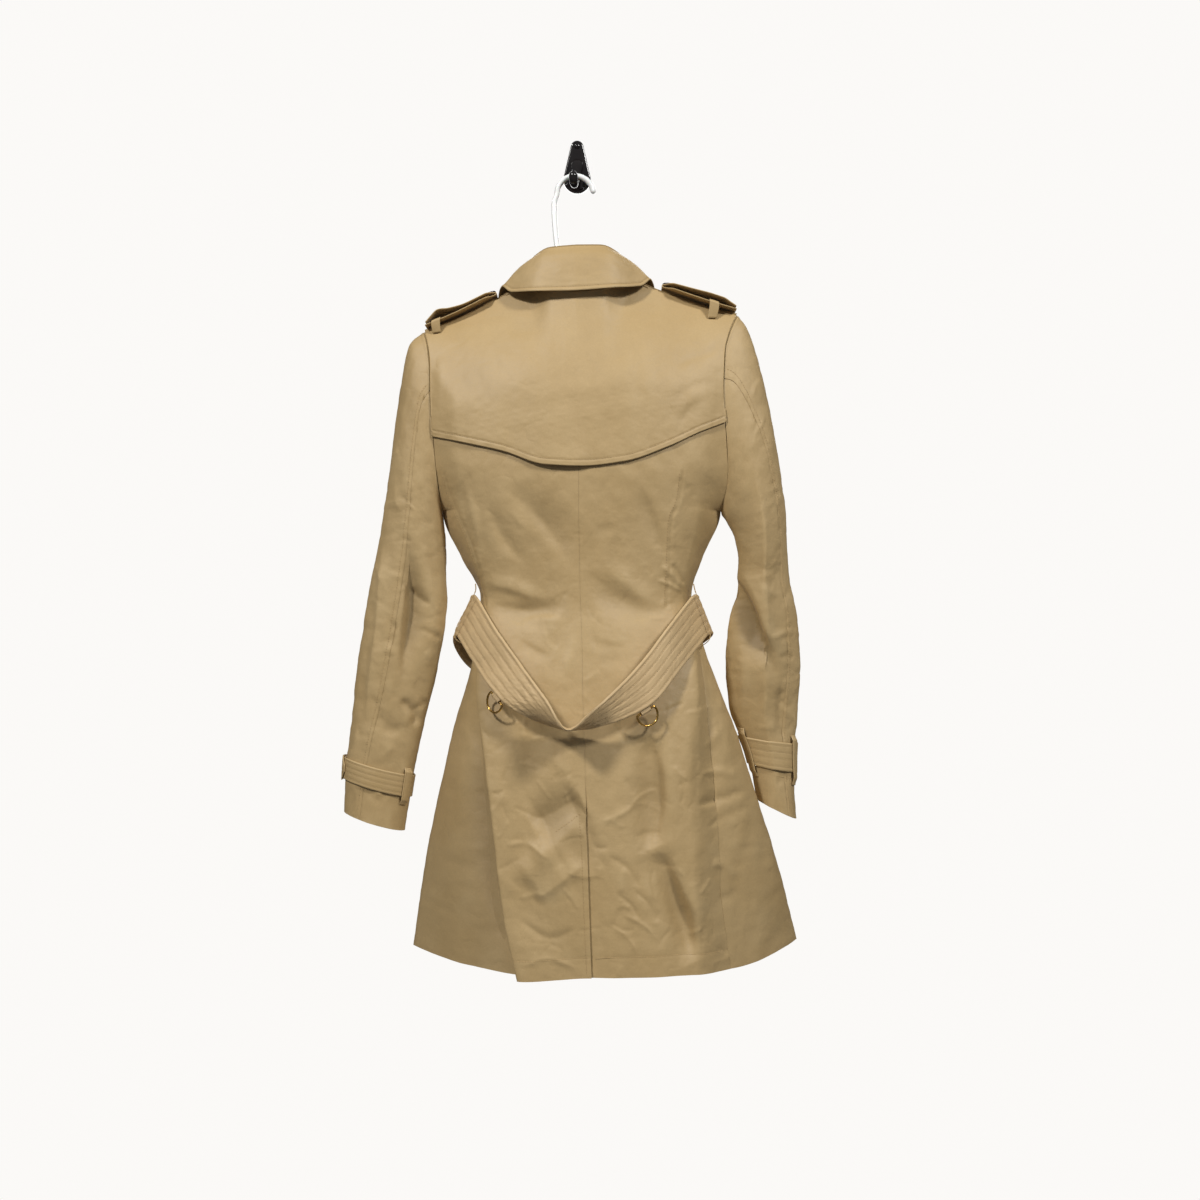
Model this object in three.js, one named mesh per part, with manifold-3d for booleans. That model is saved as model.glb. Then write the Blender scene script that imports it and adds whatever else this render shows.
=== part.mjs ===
// A short double-breasted trench coat on a plastic hanger that hangs on a wall hook.
//
// Millimetres, +Z up. The origin is the middle of the hook plate's back face, which lies on the
// wall. The wall is the plane y = 0, and everything hangs in front of it, on the -Y side. The
// coat's back faces away from the wall. Left is -X and right is +X.
import * as THREE from 'three';
import { mergeVertices } from 'three/addons/utils/BufferGeometryUtils.js';
import Module from 'manifold-3d';

const wasm = await Module();
wasm.setup();

// ---- Driving dimensions --------------------------------------------------------------------

const CLOTH = 1.5; // wall of the coat's cloth
const SEAM = 0.2; // each cut piece stops this far short of a seam
const SAME_POINT = 0.05; // points of two pieces this close are one point of their seam
const LAY = 0.9; // air between a panel and what lies on it

const ARMPIT_Z = -455;
const HEM_Z = -1018;
const SLEEVE_HEAD_Y = -53; // middle of the armhole, front to back
const SLEEVE_HEAD_DEPTH = 38; // half of the armhole's width, front to back
const SHOULDER_TIP_Z = { left: -227, right: -206 };

const FRONT_Y = { left: -16.4, right: -13 }; // outer faces of the two fronts, right over left
const FRONT_LAP_X = 55; // how far each front passes the middle
const VENT_TOP_Z = -823;
const VENT_STEP = 2.3; // how far the underlap sinks at the vent's top, and again below it
const VENT_UNDERLAP = 0.16; // share of the half back that the underlap passes the middle

const FLAP_LIFT = 0.8; // the storm flap's free edge stands off the back
const COLLAR_TILT = 0.045; // the collar is a little higher on the right
const BELT_THICK = 3;
const BELT_BUCKLE_AT = 0.786; // share of the way round the belt from its left side
const FRONT_BUCKLE_Y = -5.2;
const STRAP_THICK = 1.8;
const CUFF_LAY = 1.25; // air between a sleeve and the strap round it

const RING_RADIUS = 13.2; // middle line of a belt ring's bow
const RING_BOW_OFFSET = 5; // from the ring's bar to the middle of its bow
const RING_WIRE = 1.25; // radius of the wire
const RING_TAB_WIDTH = 13;
const RING_DROP = 4.6; // from the belt's lower edge to the ring's bar

const PLATE = { top: 34, bottom: -35, topRadius: 8.5, bottomRadius: 18, depth: 6 };
const HANGER_TUBE = 3.5; // radius
const HANGER_Y = -58;

// ---- Colours -------------------------------------------------------------------------------

const cloth = () => new THREE.MeshStandardMaterial({ color: 0xb0966f, roughness: 0.85 });
const beltCloth = () => new THREE.MeshStandardMaterial({ color: 0xcdb48e, roughness: 0.8 });
const brass = () => new THREE.MeshStandardMaterial({ color: 0xb08d4a, roughness: 0.3, metalness: 1 });
const horn = () => new THREE.MeshStandardMaterial({ color: 0x3a2a1e, roughness: 0.4 });
const leather = () => new THREE.MeshStandardMaterial({ color: 0x2a211c, roughness: 0.5 });
const whitePlastic = () => new THREE.MeshStandardMaterial({ color: 0xf2f2f0, roughness: 0.35 });
const blackMetal = () => new THREE.MeshStandardMaterial({ color: 0x16110f, roughness: 0.25, metalness: 0.6 });

// ---- Tables and the curves through them ----------------------------------------------------

// Rows of numbers under named columns.
function table(names, ...rows) {
  const keys = names.trim().split(/\s+/);
  return rows.map((row) => Object.fromEntries(keys.map((key, i) => [key, row[i]])));
}

const mix = (a, b, f) => a + (b - a) * f;
const clamp = (value, low, high) => Math.min(Math.max(value, low), high);
const ease = (f) => clamp(f, 0, 1) ** 2 * (3 - 2 * clamp(f, 0, 1));

// Reads a column of a table at a place between its rows, along a curve that goes through every
// row and never swings past one.
function smooth(rows, key, column, place) {
  const last = rows.length - 1;
  const rising = rows[last][key] > rows[0][key];
  let next = rows.findIndex((row, i) => i > 0 && (rising ? place <= row[key] : place >= row[key]));
  if (next < 0) next = last;
  const rate = (i) => (rows[i + 1][column] - rows[i][column]) / (rows[i + 1][key] - rows[i][key]);
  const slope = (i) => {
    if (i === 0) return rate(0);
    if (i === last) return rate(last - 1);
    const [before, after] = [rate(i - 1), rate(i)];
    return before * after <= 0 ? 0 : (2 * before * after) / (before + after);
  };
  const [a, b] = [rows[next - 1], rows[next]];
  const span = b[key] - a[key];
  const f = clamp((place - a[key]) / span, 0, 1);
  const [f2, f3] = [f * f, f * f * f];
  return (2 * f3 - 3 * f2 + 1) * a[column] + (f3 - 2 * f2 + f) * span * slope(next - 1)
    + (3 * f2 - 2 * f3) * b[column] + (f3 - f2) * span * slope(next);
}

// ---- Sheets of cloth -----------------------------------------------------------------------

// A sheet is a grid of points on the outer face of a piece, with the outward normal at each.
// at(u, v) gives a point; rows follow v and columns follow u.
function sheet(at, us, vs, outward = 1, wrap = false) {
  const points = vs.map((v) => us.map((u) => at(u, v)));
  const [rows, columns] = [vs.length, us.length];
  const normals = points.map((row, r) => row.map((point, c) => {
    const before = wrap ? (c + columns - 1) % columns : Math.max(c - 1, 0);
    const after = wrap ? (c + 1) % columns : Math.min(c + 1, columns - 1);
    const along = row[after].clone().sub(row[before]);
    const down = points[Math.min(r + 1, rows - 1)][c].clone().sub(points[Math.max(r - 1, 0)][c]);
    return along.cross(down).normalize().multiplyScalar(outward);
  }));
  return { points, normals, wrap };
}

// Sheets that meet at a seam share one normal there, so their walls meet in a mitre.
function meetAtSeams(sheets) {
  const groups = [];
  for (const { points, normals } of sheets) {
    points.forEach((row, r) => row.forEach((point, c) => {
      const border = r === 0 || c === 0 || r === points.length - 1 || c === row.length - 1;
      if (!border) return;
      const group = groups.find((other) => other.point.distanceTo(point) < SAME_POINT);
      if (group) group.normals.push(normals[r][c]);
      else groups.push({ point, normals: [normals[r][c]] });
    }));
  }
  for (const group of groups) {
    const shared = new THREE.Vector3();
    group.normals.forEach((normal) => shared.add(normal));
    if (shared.length() < 0.2) continue;
    shared.normalize();
    group.normals.forEach((normal) => normal.copy(shared));
  }
}

// Draws a sheet's border in, square to its edge, so that the next piece is a seam's width away.
function drawIn({ points }) {
  const [lastRow, lastColumn] = [points.length - 1, points[0].length - 1];
  const moves = [];
  const pull = (r, c, down, along) => {
    const inward = points[r + down][c + along].clone().sub(points[r][c]);
    const before = points[Math.max(r - Math.abs(along), 0)][Math.max(c - Math.abs(down), 0)];
    const after = points[Math.min(r + Math.abs(along), lastRow)][Math.min(c + Math.abs(down), lastColumn)];
    const edge = after.clone().sub(before).normalize();
    inward.addScaledVector(edge, -inward.dot(edge)).setLength(SEAM);
    moves.push([points[r][c], inward]);
  };
  for (let c = 0; c <= lastColumn; c++) {
    pull(0, c, 1, 0);
    pull(lastRow, c, -1, 0);
  }
  for (let r = 0; r <= lastRow; r++) {
    pull(r, 0, 0, 1);
    pull(r, lastColumn, 0, -1);
  }
  moves.forEach(([point, inward]) => point.add(inward));
}

// The closed wall of a sheet: its outer face, the same face moved in by the thickness, and the
// rims between them.
function wall({ points, normals, wrap }, thickness = CLOTH) {
  const [rows, columns] = [points.length, points[0].length];
  const position = [];
  for (const depth of [0, thickness]) {
    points.forEach((row, r) => row.forEach((point, c) => {
      position.push(...point.clone().addScaledVector(normals[r][c], -depth).toArray());
    }));
  }
  const outer = (r, c) => r * columns + (c % columns);
  const inner = (r, c) => rows * columns + outer(r, c);
  const faces = [];
  const quad = (a, b, c, d) => faces.push(a, b, c, a, c, d);
  const spans = wrap ? columns : columns - 1;
  for (let r = 0; r < rows - 1; r++) {
    for (let c = 0; c < spans; c++) {
      quad(outer(r, c), outer(r + 1, c), outer(r + 1, c + 1), outer(r, c + 1));
      quad(inner(r, c), inner(r, c + 1), inner(r + 1, c + 1), inner(r + 1, c));
    }
  }
  for (let c = 0; c < spans; c++) {
    quad(outer(0, c), outer(0, c + 1), inner(0, c + 1), inner(0, c));
    quad(outer(rows - 1, c), inner(rows - 1, c), inner(rows - 1, c + 1), outer(rows - 1, c + 1));
  }
  for (let r = 0; r < rows - 1 && !wrap; r++) {
    const end = columns - 1;
    quad(outer(r, 0), inner(r, 0), inner(r + 1, 0), outer(r + 1, 0));
    quad(outer(r, end), outer(r + 1, end), inner(r + 1, end), inner(r, end));
  }
  return facingOut(position, faces);
}

// A geometry whose faces point out, whichever way round they were listed.
function facingOut(position, faces) {
  const corner = (i) => new THREE.Vector3().fromArray(position, 3 * i);
  let volume = 0;
  for (let i = 0; i < faces.length; i += 3) {
    volume += corner(faces[i]).dot(corner(faces[i + 1]).cross(corner(faces[i + 2])));
  }
  if (volume < 0) {
    for (let i = 0; i < faces.length; i += 3) {
      [faces[i + 1], faces[i + 2]] = [faces[i + 2], faces[i + 1]];
    }
  }
  const geometry = new THREE.BufferGeometry();
  geometry.setAttribute('position', new THREE.Float32BufferAttribute(position, 3));
  geometry.setIndex(faces);
  return geometry;
}

// The point of a surface at (u, v), moved out along its normal.
function lifted(surface, u, v, lift, outward = 1) {
  const step = 0.004;
  const along = surface(u + step, v).sub(surface(u - step, v));
  const down = surface(u, v + step).sub(surface(u, v - step));
  const normal = along.cross(down).normalize().multiplyScalar(outward);
  return surface(u, v).addScaledVector(normal, lift);
}

// Evenly spaced values from a to b.
const steps = (a, b, count) => Array.from({ length: count + 1 }, (_, i) => mix(a, b, i / count));

// ---- The armholes --------------------------------------------------------------------------

// drop is the share of the way from the shoulder tip down to the armpit.
const ARMHOLE_X = table('drop left right',
  [0, -193, 205],
  [0.1, -186, 193],
  [0.2, -182.5, 186],
  [0.42, -180, 183],
  [0.64, -177, 187.5],
  [0.82, -174, 190],
  [1, -170.5, 184]);

// A point of an armhole. The angle is 0 at the shoulder tip and PI at the armpit, and runs
// behind, on the coat's back, where it is positive.
function armhole(side, angle) {
  const drop = (1 - Math.cos(angle)) / 2;
  return new THREE.Vector3(
    smooth(ARMHOLE_X, 'drop', side, drop),
    SLEEVE_HEAD_Y - SLEEVE_HEAD_DEPTH * Math.sin(angle),
    mix(SHOULDER_TIP_Z[side], ARMPIT_Z, drop));
}

// ---- The back ------------------------------------------------------------------------------

const CENTRE = table('z x y',
  [-190, 1, -101],
  [-250, 2, -116],
  [-342, 3, -126],
  [-400, 4, -128],
  [-455, 4, -126],
  [-515, 5, -123],
  [-564, 6, -124],
  [-617, 8, -132],
  [-670, 9, -142],
  [-730, 11, -152],
  [-800, 13, -160],
  [-900, 16, -167],
  [-1018, 20, -172]);

// Each half of the back: the depth a little over half way to its fold, the fold where the cloth
// turns from the back to the side, and the side seam, which lies in a tuck behind that fold.
const BACK = {
  left: table('z quarterY foldX foldY seamX seamY',
    [-190, -96, -150, -88, 0, 0],
    [-250, -112, -148, -99, 0, 0],
    [-342, -121, -144, -108, 0, 0],
    [-400, -122, -142, -107, 0, 0],
    [-455, -118, -140, -96, -170.5, -53],
    [-515, -112, -126, -90, -146, -52],
    [-564, -111, -114, -86, -121, -54],
    [-617, -121, -121, -98, -124, -66],
    [-670, -136, -121, -118, -112, -92],
    [-730, -147, -116, -132, -101, -107],
    [-800, -155, -112, -141, -95, -118],
    [-900, -162, -96, -151, -77, -130],
    [-1018, -168, -69, -160, -50, -141]),
  right: table('z quarterY foldX foldY seamX seamY',
    [-190, -96, 160, -88, 0, 0],
    [-250, -112, 152, -99, 0, 0],
    [-342, -121, 148, -108, 0, 0],
    [-400, -122, 150, -107, 0, 0],
    [-455, -118, 151, -96, 184, -53],
    [-515, -113, 140, -90, 160.5, -52],
    [-564, -112, 134, -86, 145, -54],
    [-617, -122, 144, -100, 153, -70],
    [-670, -135, 148, -120, 159, -96],
    [-730, -146, 147, -132, 165, -107],
    [-800, -154, 146, -141, 172, -112],
    [-900, -161, 141, -150, 176, -118],
    [-1018, -168, 146, -151, 190, -112]),
};
const QUARTER_U = 0.45;
const FOLD_U = 0.8;

// The back's upper edge: the neckline as far as NECK_U, then the shoulder seam.
const NECK_U = 0.32;
const TOP = table('u y left right',
  [0, -94, -181, -181],
  [0.16, -88, -177, -176],
  [NECK_U, -60, -164, -160],
  [0.5, -56, -180.5, -172],
  [0.8, -53.5, -208.5, -192.5],
  [1, -53, -227, -206]);

// The hem's height across the coat.
const HEM = table('x z',
  [-213, -1015],
  [-120, -1019],
  [-70, -1022],
  [20, -1015],
  [110, -1015],
  [200, -1021],
  [286, -1008]);

// Soft troughs, and ridges where the depth is negative, each along a line across the back.
const FOLDS = table('x0 z0 x1 z1 width depth',
  [-103, -410, -9, -532, 13, 5],
  [-140, -410, -118, -510, 9, 4],
  [-114, -553, -78, -544, 8, 5],
  [-78, -573, -19, -577, 9, 4],
  [105, -524, 137, -555, 8, 4],
  [30, -545, 91, -560, 12, 5],
  [95, -864, 145, -1001, 20, 9],
  [87, -730, 92, -871, 18, 7],
  [-71, -907, 12, -824, 16, -5],
  [-45, -700, -60, -980, 22, 5]);

const sideOf = (u) => (u < 0 ? 'left' : 'right');

// How far the folds push the back in at a place.
function foldDepth(x, z) {
  let depth = 0;
  for (const fold of FOLDS) {
    const [dx, dz] = [fold.x1 - fold.x0, fold.z1 - fold.z0];
    const along = ((x - fold.x0) * dx + (z - fold.z0) * dz) / (dx * dx + dz * dz);
    const near = clamp(along, 0, 1);
    const off = Math.hypot(x - fold.x0 - near * dx, z - fold.z0 - near * dz) / fold.width;
    const fade = ease(Math.min(near, 1 - near) * 4 + 0.25);
    depth += fold.depth * fade * Math.exp(-off * off);
  }
  return depth;
}

// The back's section at a height, as rows from one side seam to the other.
function backSection(z, seams) {
  const centre = { u: 0, x: smooth(CENTRE, 'z', 'x', z), y: smooth(CENTRE, 'z', 'y', z) };
  const half = (side, sign) => {
    const column = (name) => smooth(BACK[side], 'z', name, z);
    const foldX = column('foldX');
    const seam = seams ? seams[side] : { x: column('seamX'), y: column('seamY') };
    return [
      { u: sign * QUARTER_U, x: mix(centre.x, foldX, QUARTER_U / FOLD_U), y: column('quarterY') },
      { u: sign * FOLD_U, x: foldX, y: column('foldY') },
      { u: sign, x: seam.x, y: seam.y }];
  };
  return [...half('left', -1).reverse(), centre, ...half('right', 1)];
}

// A point of the back. u is -1 at the left armhole and side seam and 1 at the right ones, v is 0
// along the neck and shoulders, 1 level with the armpits and 2 at the hem.
function back(u, v) {
  const side = sideOf(u);
  const reach = Math.min(Math.abs(u), 1);
  if (v > 1) {
    const level = mix(ARMPIT_Z, HEM_Z, v - 1);
    const section = backSection(level);
    const x = smooth(section, 'u', 'x', u);
    const hem = smooth(HEM, 'x', 'z', x);
    const z = mix(ARMPIT_Z, hem, v - 1);
    const fade = 1 - ease((reach - 0.72) * 5);
    return new THREE.Vector3(x, smooth(section, 'u', 'y', u) + fade * foldDepth(x, z), z);
  }
  const angle = Math.PI * Math.max(v, 0);
  const top = {
    y: smooth(TOP, 'u', 'y', reach),
    z: smooth(TOP, 'u', side, reach),
  };
  const z = mix(top.z, ARMPIT_Z, mix(Math.max(v, 0), (1 - Math.cos(angle)) / 2, reach ** 3));
  const rim = (name) => {
    const point = armhole(name, angle);
    const deepest = armhole(name, Math.max(angle, Math.PI / 2));
    return { x: point.x, y: deepest.y };
  };
  const section = backSection(z, { left: rim('left'), right: rim('right') });
  const x = smooth(section, 'u', 'x', u);
  const rounded = Math.sin(Math.min(angle, Math.PI / 2));
  const fade = (1 - ease((reach - 0.72) * 5)) * ease(v * 2 - 0.6);
  const y = mix(top.y, smooth(section, 'u', 'y', u), rounded) + fade * foldDepth(x, z);
  return new THREE.Vector3(x, y, z);
}

// Columns of the half back, from the middle to the side; the ones past NECK_U are the shoulder's.
const BACK_US = [0, 0.11, 0.22, NECK_U, 0.45, 0.58, 0.7, FOLD_U, 0.9, 1];
const LEFT_US = BACK_US.map((u) => -u).reverse();
const YOKE_ROWS = 10;
const SKIRT_LEVELS = [-490, -525, -560, -592, -630, -672, -718, -768, VENT_TOP_Z, -845, -890, -935, -978,
  HEM_Z];
const skirtV = (z) => 1 + (z - ARMPIT_Z) / (HEM_Z - ARMPIT_Z);
const BODY_VS = [...steps(0, 1, YOKE_ROWS), ...SKIRT_LEVELS.map(skirtV)];

// The right half back turns in under the left one below the vent's top.
function backRight(u, v) {
  const open = ease((v - skirtV(VENT_TOP_Z)) / 0.03);
  const reach = mix(u, u - VENT_UNDERLAP * (1 - u) ** 6, open);
  const point = back(reach, v);
  const above = ease((v - skirtV(VENT_TOP_Z)) / 0.09 + 1);
  const sunk = (VENT_STEP * above + VENT_STEP * open) * (1 - ease(u / 0.24));
  return point.add(new THREE.Vector3(0, sunk, 0));
}

// ---- The fronts ----------------------------------------------------------------------------

// Across a front c runs from 0 at the armhole and side seam to 1 at the front edge. Below the
// armpits it passes a middle point of the side, the tip where the side turns to the front, and
// the corner where it lies flat.
const NECK_C = 0.6;
const [MIDDLE_C, TIP_C, CORNER_C] = [0.22, 0.34, 0.44];
const FRONT = {
  left: table('z middleX middleY tipX tipY',
    [-455, -171, -40, -163, -23],
    [-515, -146.5, -40, -140, -24],
    [-564, -123, -42, -118, -25],
    [-617, -131, -52, -128, -31],
    [-670, -133, -68, -139, -42],
    [-730, -137, -76, -158, -36],
    [-800, -144, -84, -173.5, -30],
    [-900, -145, -92, -195, -24],
    [-1018, -142, -97, -212.6, -21]),
  right: table('z middleX middleY tipX tipY',
    [-455, 184.5, -40, 176, -21],
    [-515, 161, -40, 154, -21],
    [-564, 147, -42, 142, -22],
    [-617, 159, -58, 158, -38],
    [-670, 172, -80, 178, -58],
    [-730, 190, -86, 201, -58],
    [-800, 206, -88, 223, -57],
    [-900, 228, -80, 255, -43],
    [-1018, 250, -64, 286, -18]),
};
const CORNER_IN = 20; // from the tip to where the front lies flat

// The edge from the side of the neck down the lapel's fold to where the fronts lap.
const BREAK = table('c x y z',
  [NECK_C, 0, 0, 0],
  [0.7, 56, -42, -200],
  [0.8, 40, -27, -242],
  [0.9, 4, -17.5, -295],
  [1, -FRONT_LAP_X, -13, -345]);

function frontTop(side, c) {
  const sign = side === 'left' ? -1 : 1;
  const neck = back(sign * NECK_U, 0);
  if (c <= NECK_C) return back(sign * mix(1, NECK_U, c / NECK_C), 0);
  const rows = BREAK.map((row, i) => (i === 0 ? { c: NECK_C, x: neck.x * sign, y: neck.y, z: neck.z } : row));
  const under = (FRONT_Y[side] - FRONT_Y.right) * ease((c - NECK_C) / 0.2);
  return new THREE.Vector3(
    smooth(rows, 'c', 'x', c) * sign, smooth(rows, 'c', 'y', c) + under, smooth(rows, 'c', 'z', c));
}

function frontSection(side, z, seam) {
  const sign = side === 'left' ? -1 : 1;
  const column = (name) => smooth(FRONT[side], 'z', name, z);
  const tipX = column('tipX');
  return [
    { c: 0, x: seam.x, y: seam.y },
    { c: MIDDLE_C, x: column('middleX'), y: column('middleY') },
    { c: TIP_C, x: tipX, y: column('tipY') },
    { c: CORNER_C, x: tipX - sign * CORNER_IN, y: FRONT_Y[side] },
    { c: 1, x: -sign * FRONT_LAP_X, y: FRONT_Y[side] }];
}

function front(side, c, v) {
  const sign = side === 'left' ? -1 : 1;
  const reach = clamp(c, 0, 1);
  if (v > 1) {
    const level = mix(ARMPIT_Z, HEM_Z, v - 1);
    const seam = back(sign, v);
    const section = frontSection(side, level, seam);
    const x = smooth(section, 'c', 'x', reach);
    const hem = mix(smooth(HEM, 'x', 'z', x), HEM_Z, ease((reach - TIP_C) * 5));
    const z = reach === 0 ? seam.z : mix(ARMPIT_Z, hem, v - 1);
    return new THREE.Vector3(x, smooth(section, 'c', 'y', reach), z);
  }
  const angle = Math.PI * Math.max(v, 0);
  const top = frontTop(side, reach);
  const rim = armhole(side, -angle);
  const z = mix(top.z, ARMPIT_Z, mix(Math.max(v, 0), (1 - Math.cos(angle)) / 2, (1 - reach) ** 3));
  const section = frontSection(side, ARMPIT_Z, armhole(side, Math.PI));
  const share = (x) => (x - section[4].x) / (section[0].x - section[4].x);
  const across = Math.min(share(smooth(section, 'c', 'x', reach)), 1 - reach / 2.2);
  const levelX = mix(section[4].x, rim.x, across);
  const x = mix(top.x, levelX, ease(v * 1.6));
  const [flat, deep] = [FRONT_Y[side], SLEEVE_HEAD_Y];
  const turned = (smooth(section, 'c', 'y', reach) - flat) / (deep - flat);
  const rimY = mix(flat, rim.y, turned);
  const flatY = mix(armhole(side, -Math.PI / 2).y, flat, ease(reach * 4));
  const y = angle < Math.PI / 2
    ? mix(top.y, flatY, Math.sin(angle))
    : mix(flatY, rimY, 1 - Math.sin(angle));
  return new THREE.Vector3(reach === 0 ? rim.x : x, reach === 0 ? rim.y : y, z);
}

// The shoulder's columns match the back's, so that the two meet point for point.
const FRONT_CS = [
  ...BACK_US.filter((u) => u >= NECK_U).reverse().map((u) => NECK_C * (1 - u) / (1 - NECK_U)),
  0.7, 0.8, 0.9, 1];

// ---- The sleeves ---------------------------------------------------------------------------

// Each sleeve is a fan of sections between its outer and inner outlines, from the armhole at
// t = 0 to the cuff at t = 1. middleY is the section's middle and depth half its width, front to
// back; pinch is 0 for a round section and 1 for one with a crease along its back and front.
const SLEEVE = {
  left: table('t outerX outerZ innerX innerZ middleY depth pinch',
    [0, -193, -227, -170.5, -455, -53, 38, 0],
    [0.08, -211, -243, -170.5, -459, -54, 38, 0],
    [0.2, -226, -319, -169, -469, -55, 37, 0],
    [0.35, -241, -434, -166, -491, -56, 35, 0.2],
    [0.45, -249, -485, -165, -522, -56, 33, 0.3],
    [0.55, -260, -540, -165, -562, -55, 31, 0.3],
    [0.65, -270, -596, -170.5, -612, -54, 30, 0.3],
    [0.75, -279, -655, -180, -668, -52, 29, 0.3],
    [0.85, -286, -717, -197, -738, -50, 28, 0.2],
    [0.93, -293, -772, -209, -795, -49, 27, 0.1],
    [1, -296.5, -838, -219, -862, -48, 27, 0]),
  right: table('t outerX outerZ innerX innerZ middleY depth pinch',
    [0, 205, -206, 184, -455, -53, 38, 0],
    [0.08, 217.5, -224, 185, -459, -54, 38, 0],
    [0.2, 240, -300, 191, -469, -54, 37, 0.1],
    [0.35, 259, -405, 202, -492, -54, 35, 0.4],
    [0.45, 267, -470, 206, -522, -53, 33, 0.6],
    [0.55, 270, -530, 202, -556, -50, 32, 0.7],
    [0.65, 282, -594, 194.5, -592, -46, 31, 0.7],
    [0.75, 286.5, -660, 191, -650, -40, 29, 0.7],
    [0.85, 283, -722, 197, -708, -34, 26, 0.6],
    [0.93, 279, -775, 219, -765, -31, 24, 0.3],
    [1, 283, -850, 233, -826, -30, 24, 0]),
};

// The angles of the two sleeve seams: the back one shows, the front one faces the wall.
const SLEEVE_SEAM = {
  left: table('t back front',
    [0, 72, -108],
    [0.3, 84, -100],
    [0.7, 82, -95],
    [1, 68, -95]),
  right: table('t back front',
    [0, 72, -108],
    [0.2, 60, -100],
    [0.5, 48, -95],
    [1, 60, -95]),
};
const SLEEVE_COLUMNS = 10;
const SLEEVE_TS = [0, 0.04, 0.09, 0.15, 0.21, 0.28, 0.35, 0.41, 0.47, 0.53, 0.6, 0.67, 0.74, 0.8,
  0.86, 0.92, 1];

// A point of a sleeve: the angle is that of the armhole, 0 on the outside of the arm.
function sleeve(side, angle, t) {
  const column = (name) => smooth(SLEEVE[side], 't', name, clamp(t, 0, 1));
  const plain = (fraction) => {
    const read = (name) => smooth(SLEEVE[side], 't', name, fraction);
    const outward = (1 + Math.cos(angle)) / 2;
    const round = Math.sin(angle);
    const creased = Math.sign(round) * (1 - Math.abs(Math.cos(angle)));
    return new THREE.Vector3(
      mix(read('innerX'), read('outerX'), outward),
      read('middleY') - column('depth') * mix(round, creased, column('pinch')),
      mix(read('innerZ'), read('outerZ'), outward));
  };
  const point = plain(clamp(t, 0, 1));
  const head = armhole(side, angle).sub(plain(0));
  return point.addScaledVector(head, (1 - ease(t / 0.3)));
}

// The upper sleeve runs over the outside of the arm, the under sleeve over its inside.
function sleevePart(side, part) {
  return (share, t) => {
    const seam = (name) => smooth(SLEEVE_SEAM[side], 't', name, clamp(t, 0, 1));
    const [from, to] = part === 'upper' ? [seam('front'), seam('back')] : [seam('back'), seam('front') + 360];
    return sleeve(side, THREE.MathUtils.degToRad(mix(from, to, share)), t);
  };
}

// ---- What lies on the panels ---------------------------------------------------------------

// The storm flap's free edge, which hangs lowest at the middle.
const FLAP_EDGE = table('u z',
  [-1, -364],
  [-0.72, -376],
  [-0.5, -386],
  [-0.22, -403],
  [0, -405],
  [0.3, -399],
  [0.6, -380],
  [0.85, -358],
  [1, -346]);
const FLAP_TOP_V = 0.02;
const FLAP_YOKE_SHARE = 0.75; // down to here the flap's rows are the back's rows
const FLAP_YOKE_V = 0.5;

// The v at which the back, at u, reaches a height.
function levelOf(u, z) {
  let [low, high] = [0, 1];
  for (let i = 0; i < 24; i++) {
    const middle = (low + high) / 2;
    if (back(u, middle).z > z) low = middle;
    else high = middle;
  }
  return low;
}

function stormFlap(u, share) {
  const edge = levelOf(u, smooth(FLAP_EDGE, 'u', 'z', u));
  const v = share < FLAP_YOKE_SHARE
    ? Math.max(FLAP_TOP_V, FLAP_YOKE_V * share / FLAP_YOKE_SHARE)
    : mix(FLAP_YOKE_V, edge, (share - FLAP_YOKE_SHARE) / (1 - FLAP_YOKE_SHARE));
  const lift = CLOTH + LAY + FLAP_LIFT * ease(share * 1.5 - 0.5) * (1 + 3 * ease(1 - Math.abs(u + 0.2) * 3));
  return lifted(back, clamp(u, -0.985, 0.985), v, lift, -1);
}

// The collar: from its seam inside the neck up to the fold and down to its outer edge. s runs
// from 0 at the back of the neck to 1 at each end, in front.
const COLLAR = table('s innerX innerY innerZ foldX foldY foldZ edgeX edgeY edgeZ',
  [0, 1, -84, -152, 1, -87, -125, 2, -108.5, -188],
  [0.2, 28, -81, -151, 31, -84, -125.5, 45, -106, -186],
  [0.38, 45, -73, -149, 50, -75, -132, 84, -90, -179.5],
  [0.5, 54, -62, -151, 61, -62, -141, 96, -64, -167],
  [0.65, 58, -51, -166, 67, -49, -156, 100, -40, -176],
  [0.8, 55, -38, -190, 66, -37, -176, 99, -26, -200],
  [1, 48, -26, -218, 59, -25, -206, 92, -17, -232]);
const COLLAR_FOLD = 4; // half of the collar's thickness at its fold
const COLLAR_CURVE = table('w part',
  [0, 0],
  [0.2, 1],
  [1, 2]);

function collar(s, w) {
  const sign = s < 0 ? -1 : 1;
  const column = (name) => smooth(COLLAR, 's', name, Math.abs(s));
  const place = (name) => {
    const x = sign * column(`${name}X`);
    return new THREE.Vector3(x, column(`${name}Y`), column(`${name}Z`) + COLLAR_TILT * x);
  };
  const [inner, fold, edge] = [place('inner'), place('fold'), place('edge')];
  const away = edge.clone().sub(inner).setZ(0).normalize();
  const part = smooth(COLLAR_CURVE, 'w', 'part', w);
  if (part <= 1) {
    const turn = part * Math.PI / 2;
    const side = fold.clone().addScaledVector(away, -COLLAR_FOLD * Math.cos(turn) ** 3);
    return inner.clone().lerp(side, Math.sin(turn));
  }
  const fall = part - 1;
  const out = COLLAR_FOLD * ease(fall * 4) + 5 * Math.sin(Math.PI * fall);
  return fold.clone().lerp(edge, fall).addScaledVector(away, out * (1 - fall));
}

// The stand rises from the neckline to the collar's inner seam.
const STAND_S = 0.5;

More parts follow.
